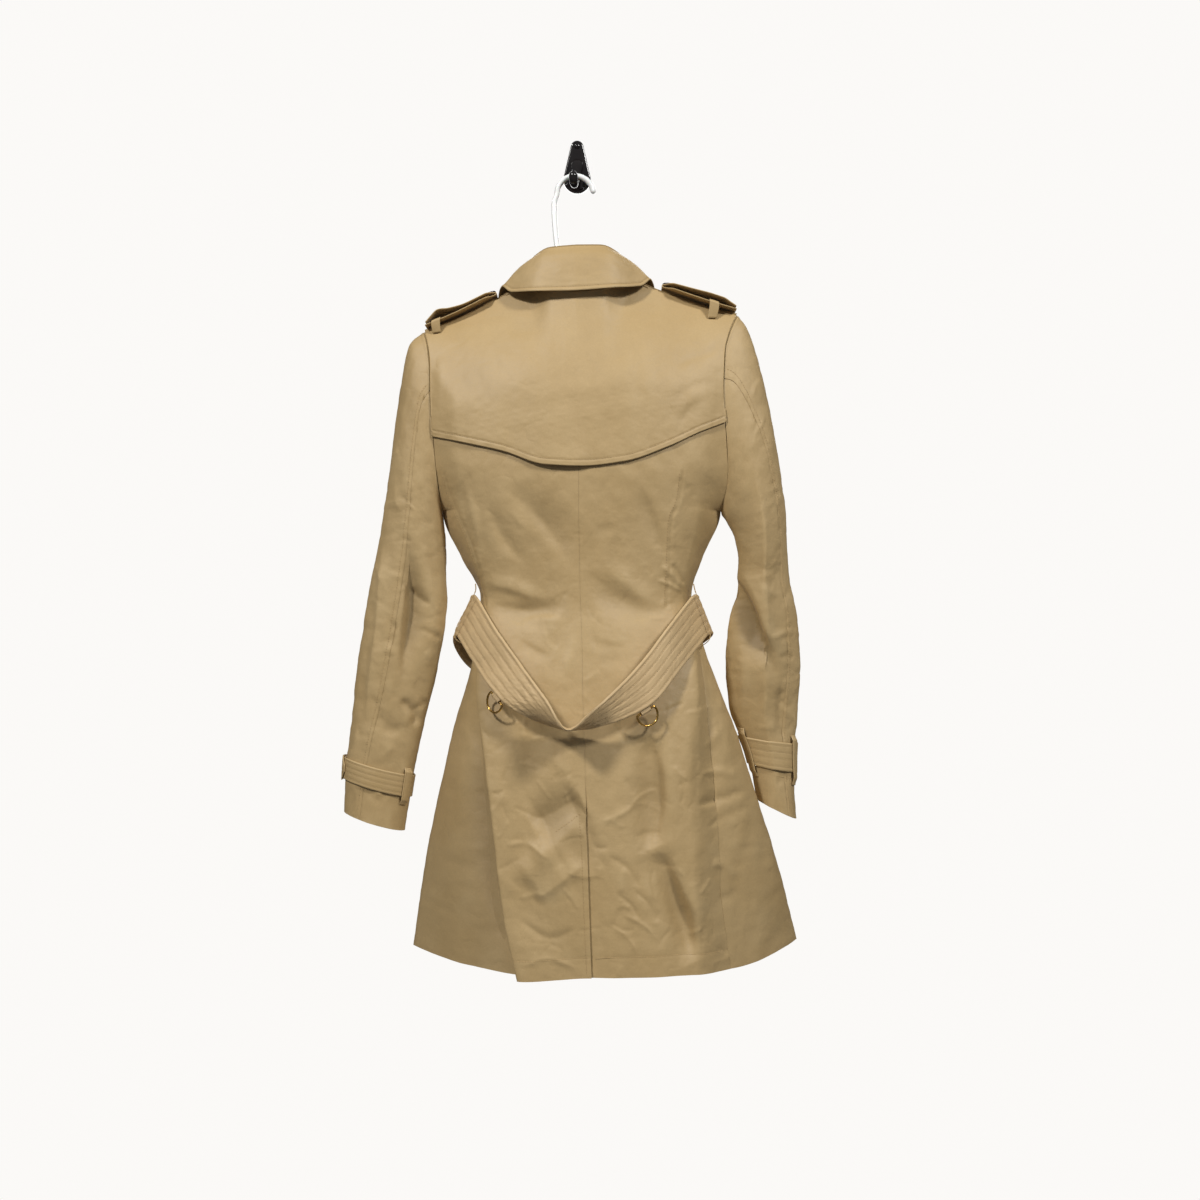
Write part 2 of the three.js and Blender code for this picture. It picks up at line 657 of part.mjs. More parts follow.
function collarStand(s, w) {
  const side = sideOf(s);
  const reach = Math.abs(s) / STAND_S;
  const foot = back((side === 'left' ? -1 : 1) * reach * NECK_U, 0).add(new THREE.Vector3(0, 0, 1.8));
  const head = collar(s, 0).add(new THREE.Vector3(0, 0, -0.8));
  return foot.lerp(head, w);
}

// A lapel is turned out over its front along the lapel's fold.
const LAPEL = { from: 0.64, to: 0.88, fall: 0.3 };

function lapel(side, share, w) {
  const c = mix(LAPEL.from, LAPEL.to, share);
  const v = 0.012 + LAPEL.fall * (1 - share) ** 0.8 * w + 0.02 * w;
  const surface = (a, b) => front(side, a, b);
  return lifted(surface, c, v, CLOTH + LAY, side === 'left' ? 1 : -1);
}

// An epaulette is a strap of two plies with its fold near the collar and both ends in the armhole
// seam. The lower ply lies along the shoulder seam and the upper ply arches above it. k runs from
// -1 at the lower ply's end through 0 at the fold to 1 at the upper ply's end, and w from -1 at
// the back edge to 1 at the front edge, which bends down.
const EPAULETTE = { neck: 0.55, tip: 0.985, half: 20, drop: 13, fold: 0.03, foldRadius: 1.9 };
const EPAULETTE_LIFT = table('share left right',
  [0, 7.1, 7.1],
  [0.12, 9, 10],
  [0.45, 9.5, 12.5],
  [0.7, 13, 14],
  [0.85, 17, 13.5],
  [0.94, 12, 10],
  [1, 7.5, 7.5]);

function epaulette(side, k, w) {
  const sign = side === 'left' ? -1 : 1;
  const share = Math.max(Math.abs(k) - EPAULETTE.fold, 0) / (1 - EPAULETTE.fold);
  const ridge = back(sign * mix(EPAULETTE.neck, EPAULETTE.tip, share), 0);
  const turn = clamp(k / EPAULETTE.fold, -1, 1) * Math.PI / 2;
  const lift = mix(CLOTH + 1.4 * LAY, smooth(EPAULETTE_LIFT, 'share', side, share), (1 + Math.sin(turn)) / 2);
  const across = w * EPAULETTE.half * (0.45 + 0.55 * ease(share * 6));
  const bend = EPAULETTE.drop * (Math.max(across, 0) / EPAULETTE.half) ** 1.7;
  return new THREE.Vector3(
    ridge.x - sign * EPAULETTE.foldRadius * Math.cos(turn),
    SLEEVE_HEAD_Y + across,
    ridge.z + lift - bend);
}

// A loop stands on the shoulder and passes over both plies of an epaulette.
const EPAULETTE_LOOP = { left: [0.82, 0.92], right: [0.68, 0.79], behind: 0.18, before: 0.24 };

const BESIDE_BACK = new THREE.Vector3(0, -CLOTH - LAY, -CLOTH - LAY);
const BESIDE_FRONT = new THREE.Vector3(0, CLOTH, -CLOTH - LAY);

function epauletteLoop(side, share, w) {
  const sign = side === 'left' ? -1 : 1;
  const k = mix(...EPAULETTE_LOOP[side], share);
  const u = mix(EPAULETTE.neck, EPAULETTE.tip, k);
  const strap = (a, b) => epaulette(side, a, b);
  const over = (across) => lifted(strap, k, across, CLOTH + LAY + 0.2, sign);
  const [back1, front1] = [over(-1).add(BESIDE_BACK), over(1).add(BESIDE_FRONT)];
  const panel = (a, b) => front(side, a, b);
  const behind = lifted(back, sign * u, EPAULETTE_LOOP.behind, 2 * (CLOTH + LAY), -1);
  const before = lifted(panel, NECK_C * (1 - u) / (1 - NECK_U), EPAULETTE_LOOP.before, CLOTH + LAY, -sign);
  const path = new THREE.CatmullRomCurve3([
    behind, back1.clone().setZ(back(sign * u, 0).z), back1, over(-0.94), over(-0.4), over(0), over(0.4),
    over(0.7), over(0.97), front1, before], false, 'centripetal');
  return path.getPoint(w);
}

// The belt's two edges as it hangs: held up at the sides by thread loops and sagging behind and
// in front. Rows run round the coat, from the left side across the back.
const BELT = table('topX topY topZ lowX lowY lowZ',
  [-130, -66, -562, -152, -70, -611],
  [-94, -134, -608, -130, -112, -637],
  [-65, -163, -645, -102, -151, -671],
  [-34, -192, -684, -73, -171, -697],
  [-8, -209, -719, -9, -163, -723],
  [30, -194, -691, 34, -177, -716],
  [78, -165, -645, 91, -165, -691],
  [115, -136, -599, 127, -137, -652],
  [150, -66, -562, 168, -70, -610],
  [156, -36, -566, 174, -34, -614],
  [128, -8, -588, 142, -8.4, -637],
  [10, -8.4, -640, 6, -8.4, -690],
  [-115, -8, -612, -133, -9, -660],
  [-136, -34, -576, -158, -34, -626]);

const edgeCurve = (name) => new THREE.CatmullRomCurve3(
  BELT.map((row) => new THREE.Vector3(row[`${name}X`], row[`${name}Y`], row[`${name}Z`])),
  true, 'centripetal');
const [beltTop, beltLow] = [edgeCurve('top'), edgeCurve('low')];
const BELT_STEPS = 46;

function belt(s, w) {
  const top = beltTop.getPoint(((s % 1) + 1) % 1);
  const low = beltLow.getPoint(((s % 1) + 1) % 1);
  return top.lerp(low, w);
}

// A strap round a sleeve near its cuff, in cloth of its own.
const CUFF_STRAP = { left: { from: 0.925, to: 0.955 }, right: { from: 0.9, to: 0.945 } };

function cuffStrap(side, angle, w) {
  const { from, to } = CUFF_STRAP[side];
  const surface = (a, t) => sleeve(side, a, t);
  return lifted(surface, angle, mix(from, to, w), STRAP_THICK + CUFF_LAY, side === 'left' ? -1 : 1);
}

// A band across a cuff strap: it lies on the sleeve above and below the strap and passes over it.
// Angles are in degrees.
const CUFF_LOOPS = {
  left: { inner: [140, 156] },
  right: { inner: [138, 156], outer: [16, 34] },
};

function cuffLoop(side, [low, high], share, w) {
  const { from, to } = CUFF_STRAP[side];
  const room = (to - from) * 0.36;
  const over = ease(Math.min(w, 1 - w) * 8);
  const surface = (a, t) => sleeve(side, a, t);
  return lifted(surface, THREE.MathUtils.degToRad(mix(low, high, share)), mix(from - room, to + room, w),
    mix(CLOTH + 0.7, STRAP_THICK + CUFF_LAY + CLOTH + 0.7, over), side === 'left' ? -1 : 1);
}

// The strap's free end lies on the strap past its buckle and comes to a point.
const CUFF_TAIL = {
  left: { from: -29, to: 24, wide: 1.15, buckle: -52 },
  right: { from: -24, to: 6, wide: 1.1, buckle: -54 },
};

function cuffTail(side, share, w) {
  const { from, to } = CUFF_STRAP[side];
  const tail = CUFF_TAIL[side];
  const half = (to - from) / 2 * tail.wide * (1 - 0.75 * Math.max(share - 0.72, 0) / 0.28);
  const surface = (a, t) => sleeve(side, a, t);
  const angle = THREE.MathUtils.degToRad(mix(tail.from, tail.to, share));
  return lifted(surface, angle, (from + to) / 2 + mix(-half, half, w),
    2 * STRAP_THICK + CUFF_LAY + 0.6, side === 'left' ? -1 : 1);
}

// ---- Metal, plastic and horn ---------------------------------------------------------------

function bare(geometry) {
  geometry.deleteAttribute('normal');
  geometry.deleteAttribute('uv');
  return mergeVertices(geometry, 1e-4);
}

function toSolid(geometry) {
  const merged = bare(geometry.clone());
  return new wasm.Manifold(new wasm.Mesh({
    numProp: 3,
    vertProperties: new Float32Array(merged.attributes.position.array),
    triVerts: new Uint32Array(merged.index.array),
  }));
}

function fromSolid(solid) {
  const mesh = solid.getMesh();
  const geometry = new THREE.BufferGeometry();
  geometry.setAttribute('position', new THREE.Float32BufferAttribute(Array.from(mesh.vertProperties), 3));
  geometry.setIndex(Array.from(mesh.triVerts));
  return geometry;
}

const joined = (...geometries) => fromSolid(wasm.Manifold.union(geometries.map(toSolid)));

// A tube along a curve, closed at both ends.
function tube(curve, radius, steppings, sides = 10) {
  const section = new THREE.Shape(steps(0, 2 * Math.PI, sides).slice(0, -1)
    .map((angle) => new THREE.Vector2(radius * Math.cos(angle), radius * Math.sin(angle))));
  return new THREE.ExtrudeGeometry(section, { steps: steppings, extrudePath: curve });
}

// Wall hook: an arched plate and a prong that swells to a bulb at its tip.
const PRONG = table('x y z radius',
  [0, -2, 2, 9],
  [0, -7, 0, 8.4],
  [-0.5, -14, -7, 6.8],
  [-1.4, -21.5, -20, 5.7],
  [-2.2, -28, -29.2, 5.4],
  [-2.8, -34.5, -32.4, 5.4],
  [-3.2, -41, -33.6, 5.5],
  [-3.8, -46.5, -31.5, 5.8],
  [-4, -48, -27, 5.8],
  [-4, -48.3, -23.5, 4.8],
  [-4, -48.3, -21, 2.4]);

function prong() {
  const sides = 12;
  const position = [];
  const faces = [];
  PRONG.forEach((row, i) => {
    const before = PRONG[Math.max(i - 1, 0)];
    const after = PRONG[Math.min(i + 1, PRONG.length - 1)];
    const lean = Math.atan2(after.z - before.z, after.y - before.y);
    for (let k = 0; k < sides; k++) {
      const angle = (2 * Math.PI * k) / sides;
      const [across, up] = [row.radius * Math.cos(angle), row.radius * Math.sin(angle)];
      position.push(row.x + across, row.y + up * Math.sin(lean), row.z - up * Math.cos(lean));
    }
  });
  const ends = [position.length / 3, position.length / 3 + 1];
  for (const row of [PRONG[0], PRONG[PRONG.length - 1]]) position.push(row.x, row.y, row.z);
  const lastRing = (PRONG.length - 1) * sides;
  for (let k = 0; k < sides; k++) {
    const next = (k + 1) % sides;
    faces.push(ends[0], next, k, ends[1], lastRing + k, lastRing + next);
    for (let i = 0; i < PRONG.length - 1; i++) {
      const [a, b] = [i * sides, (i + 1) * sides];
      faces.push(a + k, a + next, b + next, a + k, b + next, b + k);
    }
  }
  return facingOut(position, faces);
}

function hookPlate() {
  const { top, bottom, topRadius, bottomRadius, depth } = PLATE;
  const bevel = 1.2;
  const outline = new THREE.Shape();
  const [high, low] = [top - topRadius, bottom + bottomRadius];
  const lean = Math.asin((bottomRadius - topRadius) / (high - low));
  outline.absarc(0, low, bottomRadius - bevel, Math.PI - lean, lean, false);
  outline.absarc(0, high, topRadius - bevel, lean, Math.PI - lean, false);
  const geometry = new THREE.ExtrudeGeometry(outline, {
    depth: depth - bevel, bevelEnabled: true, bevelThickness: bevel, bevelSize: bevel,
    bevelSegments: 1, curveSegments: 10,
  });
  geometry.rotateX(Math.PI / 2);
  const behind = new THREE.BoxGeometry(100, bevel * 2, 100).translate(0, bevel, 0);
  return fromSolid(toSolid(geometry).subtract(toSolid(behind)));
}

const CUFF_BUCKLE = { width: 20, height: 33, rim: 3.2, depth: 3 };
const BELT_BUCKLE = { width: 52, height: 62, rim: 6, depth: 3 };
const SMALL_BUTTON = { radius: 7, thick: 2.4 };
const FRONT_BUTTON = { radius: 11, thick: 3 };

// Rows of front buttons on the right front, which laps over the left one.
const FRONT_BUTTON_ROWS = table('z leftX rightX',
  [-420, -44, 60],
  [-530, -42, 56],
  [-790, -42, 62]);

const SCREWS = table('x z radius',
  [0, 26.3, 3.6],
  [-11.5, -24, 3.6],
  [10.8, -24, 3.6]);

function screwHead(radius) {
  const dome = [[0, 0], [radius, 0], [radius * 0.92, 0.9], [radius * 0.6, 1.7], [0, 2.1]]
    .map(([x, y]) => new THREE.Vector2(x, y));
  const head = new THREE.LatheGeometry(dome, 12);
  const slot = new THREE.BoxGeometry(radius * 1.5, 1.2, 0.8).translate(0, 2, 0);
  const turned = fromSolid(toSolid(head).subtract(toSolid(slot)));
  return turned.rotateX(Math.PI);
}

// The hanger: the hook's free end, round over the top, down the shank and into the arms.
const HOOK_BOW = { x: -2, z: -46.3, radius: 23.5, y: -36 };

function hangerGeometry() {
  const bow = steps(10, 180, 9).map((degrees) => {
    const angle = THREE.MathUtils.degToRad(degrees);
    return new THREE.Vector3(
      HOOK_BOW.x + HOOK_BOW.radius * Math.cos(angle), HOOK_BOW.y,
      HOOK_BOW.z + HOOK_BOW.radius * Math.sin(angle));
  });
  const shank = table('x y z',
    [-28.6, -36.5, -57],
    [-29, -38, -70],
    [-27.6, -43, -92],
    [-25.4, -48, -112],
    [-22, -52, -130],
    [-18, HANGER_Y, -150]);
  const hook = new THREE.CatmullRomCurve3([
    ...bow, ...shank.map((row) => new THREE.Vector3(row.x, row.y, row.z))], false, 'centripetal');
  const below = (u, drop) => {
    const ridge = back(u, 0);
    return new THREE.Vector3(ridge.x, ridge.y - 1 - 6.4 * (1 - Math.abs(u)), ridge.z - drop);
  };
  const loop = new THREE.CatmullRomCurve3([
    new THREE.Vector3(-18, HANGER_Y, -150),
    new THREE.Vector3(-36, HANGER_Y, -160),
    below(-0.48, 21.5), below(-0.65, 17.5), below(-0.8, 14.5), below(-0.93, 12.5),
    new THREE.Vector3(-186, HANGER_Y, -241),
    new THREE.Vector3(-178, HANGER_Y, -248),
    new THREE.Vector3(-140, HANGER_Y, -247),
    new THREE.Vector3(8, HANGER_Y, -240),
    new THREE.Vector3(150, HANGER_Y, -233),
    new THREE.Vector3(186, HANGER_Y, -231),
    new THREE.Vector3(193, HANGER_Y, -223),
    below(0.93, 12.5), below(0.8, 15), below(0.65, 18), below(0.48, 20.5),
    new THREE.Vector3(24, HANGER_Y, -159),
    new THREE.Vector3(2, HANGER_Y, -150)], true, 'centripetal');
  return joined(
    tube(hook, HANGER_TUBE, 34, 8),
    new THREE.TubeGeometry(loop, 56, HANGER_TUBE, 8, true));
}

// A belt ring is a D: a straight bar, which its tab holds, and a bow below it. Its frame has the
// bar along x, the bow towards y, and z out of the ring's plane.
function ringGeometry() {
  const half = Math.sqrt(RING_RADIUS ** 2 - RING_BOW_OFFSET ** 2);
  const start = Math.atan2(-RING_BOW_OFFSET, half);
  const bow = steps(start, Math.PI - start, 20).map((angle) => new THREE.Vector3(
    RING_RADIUS * Math.cos(angle), RING_BOW_OFFSET + RING_RADIUS * Math.sin(angle), 0));
  const bar = steps(-half, half, 8).slice(1, -1).map((x) => new THREE.Vector3(x, 0, 0));
  const path = new THREE.CatmullRomCurve3([...bow, ...bar], true, 'centripetal');
  return new THREE.TubeGeometry(path, 40, RING_WIRE, 6, true);
}

// A ring tab is a doubled strip behind the belt that wraps the ring's bar. Same frame: the belt
// lies towards -y.
const TAB = { bore: RING_WIRE + 0.45, ply: 1.2, strip: 1.2, length: 15 };

function tabGeometry() {
  const outer = TAB.bore + TAB.ply;
  const meet = Math.asin(TAB.strip / outer);
  const outline = new THREE.Shape();
  outline.moveTo(-TAB.length, TAB.strip);
  outline.lineTo(-TAB.length, -TAB.strip);
  outline.absarc(0, 0, outer, Math.PI + meet, Math.PI * 3 - meet, false);
  outline.closePath();
  outline.holes.push(new THREE.Path().absarc(0, 0, TAB.bore, 0, Math.PI * 2, true));
  const geometry = new THREE.ExtrudeGeometry(outline, {
    depth: RING_TAB_WIDTH, bevelEnabled: false, curveSegments: 10,
  });
  geometry.translate(0, 0, -RING_TAB_WIDTH / 2);
  return geometry.applyMatrix4(new THREE.Matrix4().makeBasis(
    new THREE.Vector3(0, 1, 0), new THREE.Vector3(0, 0, 1), new THREE.Vector3(1, 0, 0)));
}

// Thread loops hold the belt up at the side seams. A row's out is its distance from the side.
const THREAD = table('z out',
  [-548, -0.2],
  [-556, 3],
  [-615, 4],
  [-628, -0.2]);

// Where a ring hangs: round the belt from its left side, as a share of the way.
const RING_AT = { left: 0.168, right: 0.418 };

function ringFrame(side) {
  const s = RING_AT[side];
  const low = belt(s, 1);
  const along = belt(s + 0.004, 1).sub(belt(s - 0.004, 1)).normalize();
  const out = low.clone().sub(belt(s, 0.7));
  out.addScaledVector(along, -out.dot(along)).normalize();
  const inward = along.clone().cross(out).normalize();
  if (inward.y < 0) inward.negate();
  const bar = low.clone().addScaledVector(out, RING_DROP)
    .addScaledVector(inward, BELT_THICK + LAY + TAB.strip);
  const hang = new THREE.Vector3(0, 0, -1);
  hang.addScaledVector(along, -hang.dot(along)).normalize();
  return { bar, along, out, hang };
}

function threadLoop(side) {
  const sign = side === 'left' ? -1 : 1;
  const at = side === 'left' ? 0.02 : 0.56;
  const path = THREAD.map(({ z, out }) => {
    const v = skirtV(z);
    const cloth = back(sign, v);
    const reach = clamp((BELT[0].topZ - z) / (BELT[0].topZ - BELT[0].lowZ), 0, 1);
    const strap = belt(at, reach);
    const x = out < 1 ? cloth.x + sign * out : strap.x + sign * out;
    return new THREE.Vector3(x, strap.y, z);
  });
  return tube(new THREE.CatmullRomCurve3(path, false, 'centripetal'), 0.9, 9, 5);
}

function framed(geometry, origin, xAxis, yAxis) {
  const basis = new THREE.Matrix4().makeBasis(xAxis, yAxis, xAxis.clone().cross(yAxis));
  return geometry.applyMatrix4(basis.setPosition(origin));
}

// A button: its back is at y = 0 and its rim stands above its middle.
function buttonGeometry({ radius, thick }) {
  const profile = [[0, 0], [radius * 0.92, 0], [radius, thick * 0.5], [radius * 0.86, thick],
    [radius * 0.66, thick * 0.7], [0, thick * 0.7]].map(([x, y]) => new THREE.Vector2(x, y));
  return new THREE.LatheGeometry(profile, 10);
}

// A buckle is a frame with round corners and a bar across it. It lies in its own XY plane.
function buckleGeometry({ width, height, rim, depth }) {
  const outline = (w, h, radius) => {
    const path = new THREE.Path();
    const corners = [[1, 1], [-1, 1], [-1, -1], [1, -1]];
    corners.forEach(([sx, sy], i) => path.absarc(
      sx * (w / 2 - radius), sy * (h / 2 - radius), radius,
      (i * Math.PI) / 2, ((i + 1) * Math.PI) / 2, false));
    return path.getPoints(3);
  };
  const shape = new THREE.Shape(outline(width, height, rim * 1.4));
  shape.holes.push(new THREE.Path(outline(width - 2 * rim, height - 2 * rim, rim * 0.5)));
  const frame = new THREE.ExtrudeGeometry(shape, { depth, bevelEnabled: false });
  const bar = new THREE.BoxGeometry(rim * 0.6, height - rim, depth * 0.6).translate(0, 0, depth / 2);
  return joined(frame, bar).translate(0, 0, -depth / 2);
}

// Lies flat on a place of a surface, with its width along the surface's first direction.
function laidOn(geometry, surface, u, v, lift, outward) {
  const place = lifted(surface, u, v, lift, outward);
  const out = place.clone().sub(surface(u, v)).normalize();
  const along = surface(u + 0.01, v).sub(surface(u - 0.01, v));
  along.addScaledVector(out, -along.dot(out)).normalize();
  return framed(geometry, place, along, out.clone().cross(along));
}

// ---- Putting the coat together -------------------------------------------------------------

const coat = new THREE.Group();

function add(name, geometry, material) {
  const mesh = new THREE.Mesh(geometry, material);
  mesh.name = name;
  coat.add(mesh);
  return mesh;
}

const degrees = (list) => list.map(THREE.MathUtils.degToRad);

// Cut pieces that meet at seams.
const cut = {
  back_left: sheet(back, LEFT_US, BODY_VS, -1),
  back_right: sheet(backRight, BACK_US, BODY_VS, -1),
  front_left: sheet((c, v) => front('left', c, v), FRONT_CS, BODY_VS, 1),
  front_right: sheet((c, v) => front('right', c, v), FRONT_CS, BODY_VS, -1),
};
for (const side of ['left', 'right']) {
  for (const part of ['upper', 'under']) {
    cut[`sleeve_${side}_${part}`] = sheet(
      sleevePart(side, part), steps(0, 1, SLEEVE_COLUMNS), SLEEVE_TS, side === 'left' ? -1 : 1);
  }
}
meetAtSeams(Object.values(cut));
for (const [name, piece] of Object.entries(cut)) {
  drawIn(piece);
  add(name, wall(piece), cloth());
}

const FLAP_US = [...LEFT_US.slice(0, -1), ...BACK_US];
const FLAP_SHARES = [...steps(0, FLAP_YOKE_SHARE, 5), 0.83, 0.92, 1];
add('storm_flap', wall(sheet(stormFlap, FLAP_US, FLAP_SHARES, -1)), cloth());

const COLLAR_SS = [-1, -0.86, -0.72, -0.6, -0.5, -0.4, -0.28, -0.14, 0,
  0.14, 0.28, 0.4, 0.5, 0.6, 0.72, 0.86, 1];
const COLLAR_WS = [0, 0.1, 0.17, 0.2, 0.25, 0.35, 0.5, 0.75, 1];
add('collar', wall(sheet(collar, COLLAR_SS, COLLAR_WS, -1)), cloth());
const STAND_SS = COLLAR_SS.filter((s) => Math.abs(s) <= STAND_S);
add('collar_stand', wall(sheet(collarStand, STAND_SS, steps(0, 1, 3), 1)), cloth());

const EPAULETTE_KS = [-1, -0.8, -0.55, -0.3, -0.1, -0.03, -0.015, 0, 0.015, 0.03, 0.08, 0.15, 0.3, 0.45,
  0.58, 0.7, 0.78, 0.86, 0.93, 1];
const EPAULETTE_WS = steps(-1, 1, 6);
for (const side of ['left', 'right']) {
  const sign = side === 'left' ? -1 : 1;
  add(`lapel_${side}`, wall(sheet(
    (share, w) => lapel(side, share, w), steps(0, 1, 6), steps(0, 1, 4), -sign)), cloth());

  add(`epaulette_${side}`, wall(sheet(
    (k, w) => epaulette(side, k, w), EPAULETTE_KS, EPAULETTE_WS, sign)), cloth());
  add(`epaulette_loop_${side}`, wall(sheet(
    (share, w) => epauletteLoop(side, share, w), [0, 0.4, 1], steps(0, 1, 16), sign)), cloth());

  const strapAngles = degrees(steps(0, 360, 24).slice(0, -1));
  const strap = sheet((angle, w) => cuffStrap(side, angle, w), strapAngles, steps(0, 1, 2), sign, true);
  add(`cuff_strap_${side}`, wall(strap, STRAP_THICK), cloth());

  for (const [place, span] of Object.entries(CUFF_LOOPS[side])) {
    add(`cuff_loop_${side}_${place}`, wall(sheet(
      (share, w) => cuffLoop(side, span, share, w), steps(0, 1, 2), steps(0, 1, 10), sign)), cloth());
  }
  add(`cuff_tail_${side}`, wall(sheet(
    (share, w) => cuffTail(side, share, w), [0, 0.18, 0.36, 0.54, 0.72, 0.86, 1], steps(0, 1, 2), sign),
    STRAP_THICK), cloth());
  const buckleT = (CUFF_STRAP[side].from + CUFF_STRAP[side].to) / 2;
  add(`cuff_buckle_${side}`, laidOn(
    buckleGeometry(CUFF_BUCKLE), (angle, t) => sleeve(side, angle, t),
    THREE.MathUtils.degToRad(CUFF_TAIL[side].buckle), buckleT,
    STRAP_THICK + CUFF_LAY + 0.5 + CUFF_BUCKLE.depth / 2, sign), leather());

  const seat = epaulette(side, 0.1, 0).add(new THREE.Vector3(0, 0, 0.5));
  const lean = epaulette(side, 0.14, 0).sub(epaulette(side, 0.06, 0)).multiplyScalar(sign).normalize();
  const up = lean.clone().cross(new THREE.Vector3(0, 1, 0));
  add(`epaulette_button_${side}`, framed(buttonGeometry(SMALL_BUTTON), seat, lean, up), horn());

  add(`belt_loop_${side}`, threadLoop(side), cloth());

  const frame = ringFrame(side);
  add(`belt_ring_${side}`, framed(ringGeometry(), frame.bar, frame.along, frame.hang), brass());
  add(`belt_ring_tab_${side}`, framed(tabGeometry(), frame.bar, frame.along, frame.out), beltCloth());
}

const beltSheet = sheet(belt, steps(0, 1, BELT_STEPS).slice(0, -1), steps(0, 1, 3), -1, true);
add('belt', wall(beltSheet, BELT_THICK), beltCloth());

const buckleAt = belt(BELT_BUCKLE_AT, 0.5);
add('belt_buckle', buckleGeometry(BELT_BUCKLE).rotateX(Math.PI / 2)
  .translate(buckleAt.x, FRONT_BUCKLE_Y, buckleAt.z), leather());
FRONT_BUTTON_ROWS.forEach((row, i) => {
  for (const side of ['left', 'right']) {
    const mesh = add(`front_button_${side}_${i + 1}`, bare(buttonGeometry(FRONT_BUTTON)), horn());
    mesh.position.set(row[`${side}X`], FRONT_Y.right + 0.5, row.z);
  }
});

add('hanger', hangerGeometry(), whitePlastic());
add('wall_hook', joined(hookPlate(), prong()), blackMetal());
SCREWS.forEach((row, i) => {
  const mesh = add(`hook_screw_${i + 1}`, bare(screwHead(row.radius)), blackMetal());
  mesh.position.set(row.x, -PLATE.depth - 0.3, row.z);
});

coat.traverse((node) => {
  if (node.isMesh) node.geometry = bare(node.geometry);
});

export default coat;
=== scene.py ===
"""Looks of a short belted trench coat on a tube hanger that hangs on a wall hook.

Works in millimetres on the outer faces of the cut pieces, with the same tables as the solids, and
turns each piece into metres when its mesh is made. The wall is y = 0, the coat hangs on its -Y
side, left is -X and up is +Z.
"""
import math

import bmesh
import bpy
import numpy as np
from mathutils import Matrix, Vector


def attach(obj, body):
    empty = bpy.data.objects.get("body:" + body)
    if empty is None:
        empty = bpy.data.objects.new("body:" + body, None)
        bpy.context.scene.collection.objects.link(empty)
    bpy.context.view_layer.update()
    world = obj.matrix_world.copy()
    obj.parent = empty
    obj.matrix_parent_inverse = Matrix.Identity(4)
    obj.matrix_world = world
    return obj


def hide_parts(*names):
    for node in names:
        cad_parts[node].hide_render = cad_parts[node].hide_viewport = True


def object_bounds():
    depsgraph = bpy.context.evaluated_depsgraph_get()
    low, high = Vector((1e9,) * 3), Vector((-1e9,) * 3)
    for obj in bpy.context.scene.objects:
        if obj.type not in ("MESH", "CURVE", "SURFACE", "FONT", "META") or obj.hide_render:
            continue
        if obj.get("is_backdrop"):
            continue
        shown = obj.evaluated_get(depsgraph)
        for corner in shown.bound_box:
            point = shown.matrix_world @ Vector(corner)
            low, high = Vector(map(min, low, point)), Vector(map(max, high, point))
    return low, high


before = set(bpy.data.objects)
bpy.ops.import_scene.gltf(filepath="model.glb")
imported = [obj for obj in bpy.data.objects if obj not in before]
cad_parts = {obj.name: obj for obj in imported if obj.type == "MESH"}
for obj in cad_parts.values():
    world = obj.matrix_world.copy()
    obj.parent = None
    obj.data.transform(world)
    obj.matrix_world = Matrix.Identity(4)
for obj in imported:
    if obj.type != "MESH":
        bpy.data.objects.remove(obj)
CAD_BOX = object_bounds()
COAT, RING_LEFT, RING_RIGHT = "coat", "ring_left", "ring_right"

# ---- Sizes, in millimetres -------------------------------------------------------------------

CLOTH = 1.5               # a panel's thickness
LAY = 0.9                 # the air between two layers that lie on each other
ARMPIT_Z = -455
HEM_Z = -1018
SLEEVE_HEAD_Y = -53
SLEEVE_HEAD_DEPTH = 38    # half of the armhole's depth
SHOULDER_TIP_Z = {"left": -227, "right": -206}
FRONT_Y = {"left": -16.4, "right": -13}
FRONT_LAP_X = 55          # how far each front goes past the middle
VENT_TOP_Z = -823
VENT_STEP = 2.3           # how far the underlap lies below the left back
VENT_UNDERLAP = 0.16      # its width, as a share of the right back
FLAP_LIFT = 0.8
COLLAR_TILT = 0.045
BELT_THICK = 3
STRAP_THICK = 1.8
CUFF_LAY = 1.25
SIGN = {"left": -1, "right": 1}


def table(names, *rows):
    columns = np.array(rows, float).T
    return dict(zip(names.split(), columns))


def mix(a, b, f):
    return a + (b - a) * f


def ease(f):
    f = np.clip(f, 0, 1)
    return f * f * (3 - 2 * f)


def curve(knots, values, place):
    """A smooth curve through the knots that never swings past one, read at each place.
    knots and values hold one row of numbers, or one row for each place."""
    place = np.atleast_1d(np.asarray(place, float))
    knots = np.atleast_2d(np.asarray(knots, float))
    values = np.atleast_2d(np.asarray(values, float))
    count = max(len(place), len(knots), len(values))
    place = np.broadcast_to(place, (count,))
    knots = np.broadcast_to(knots, (count, knots.shape[1]))
    values = np.broadcast_to(values, (count, values.shape[1]))
    way = np.where(knots[:, -1:] > knots[:, :1], 1.0, -1.0)
    knots, place = knots * way, place * way[:, 0]
    rate = np.diff(values, axis=1) / np.diff(knots, axis=1)
    before, after = rate[:, :-1], rate[:, 1:]
    same = before * after > 0
    inner = np.where(same, 2 * before * after / np.where(same, before + after, 1), 0)
    slope = np.concatenate([rate[:, :1], inner, rate[:, -1:]], axis=1)
    span = (place[:, None] > knots[:, 1:-1]).sum(axis=1)
    row = np.arange(count)
    low, high = knots[row, span], knots[row, span + 1]
    f = np.clip((place - low) / (high - low), 0, 1)
    return hermite(f, values[row, span], values[row, span + 1],
                   (high - low) * slope[row, span], (high - low) * slope[row, span + 1])


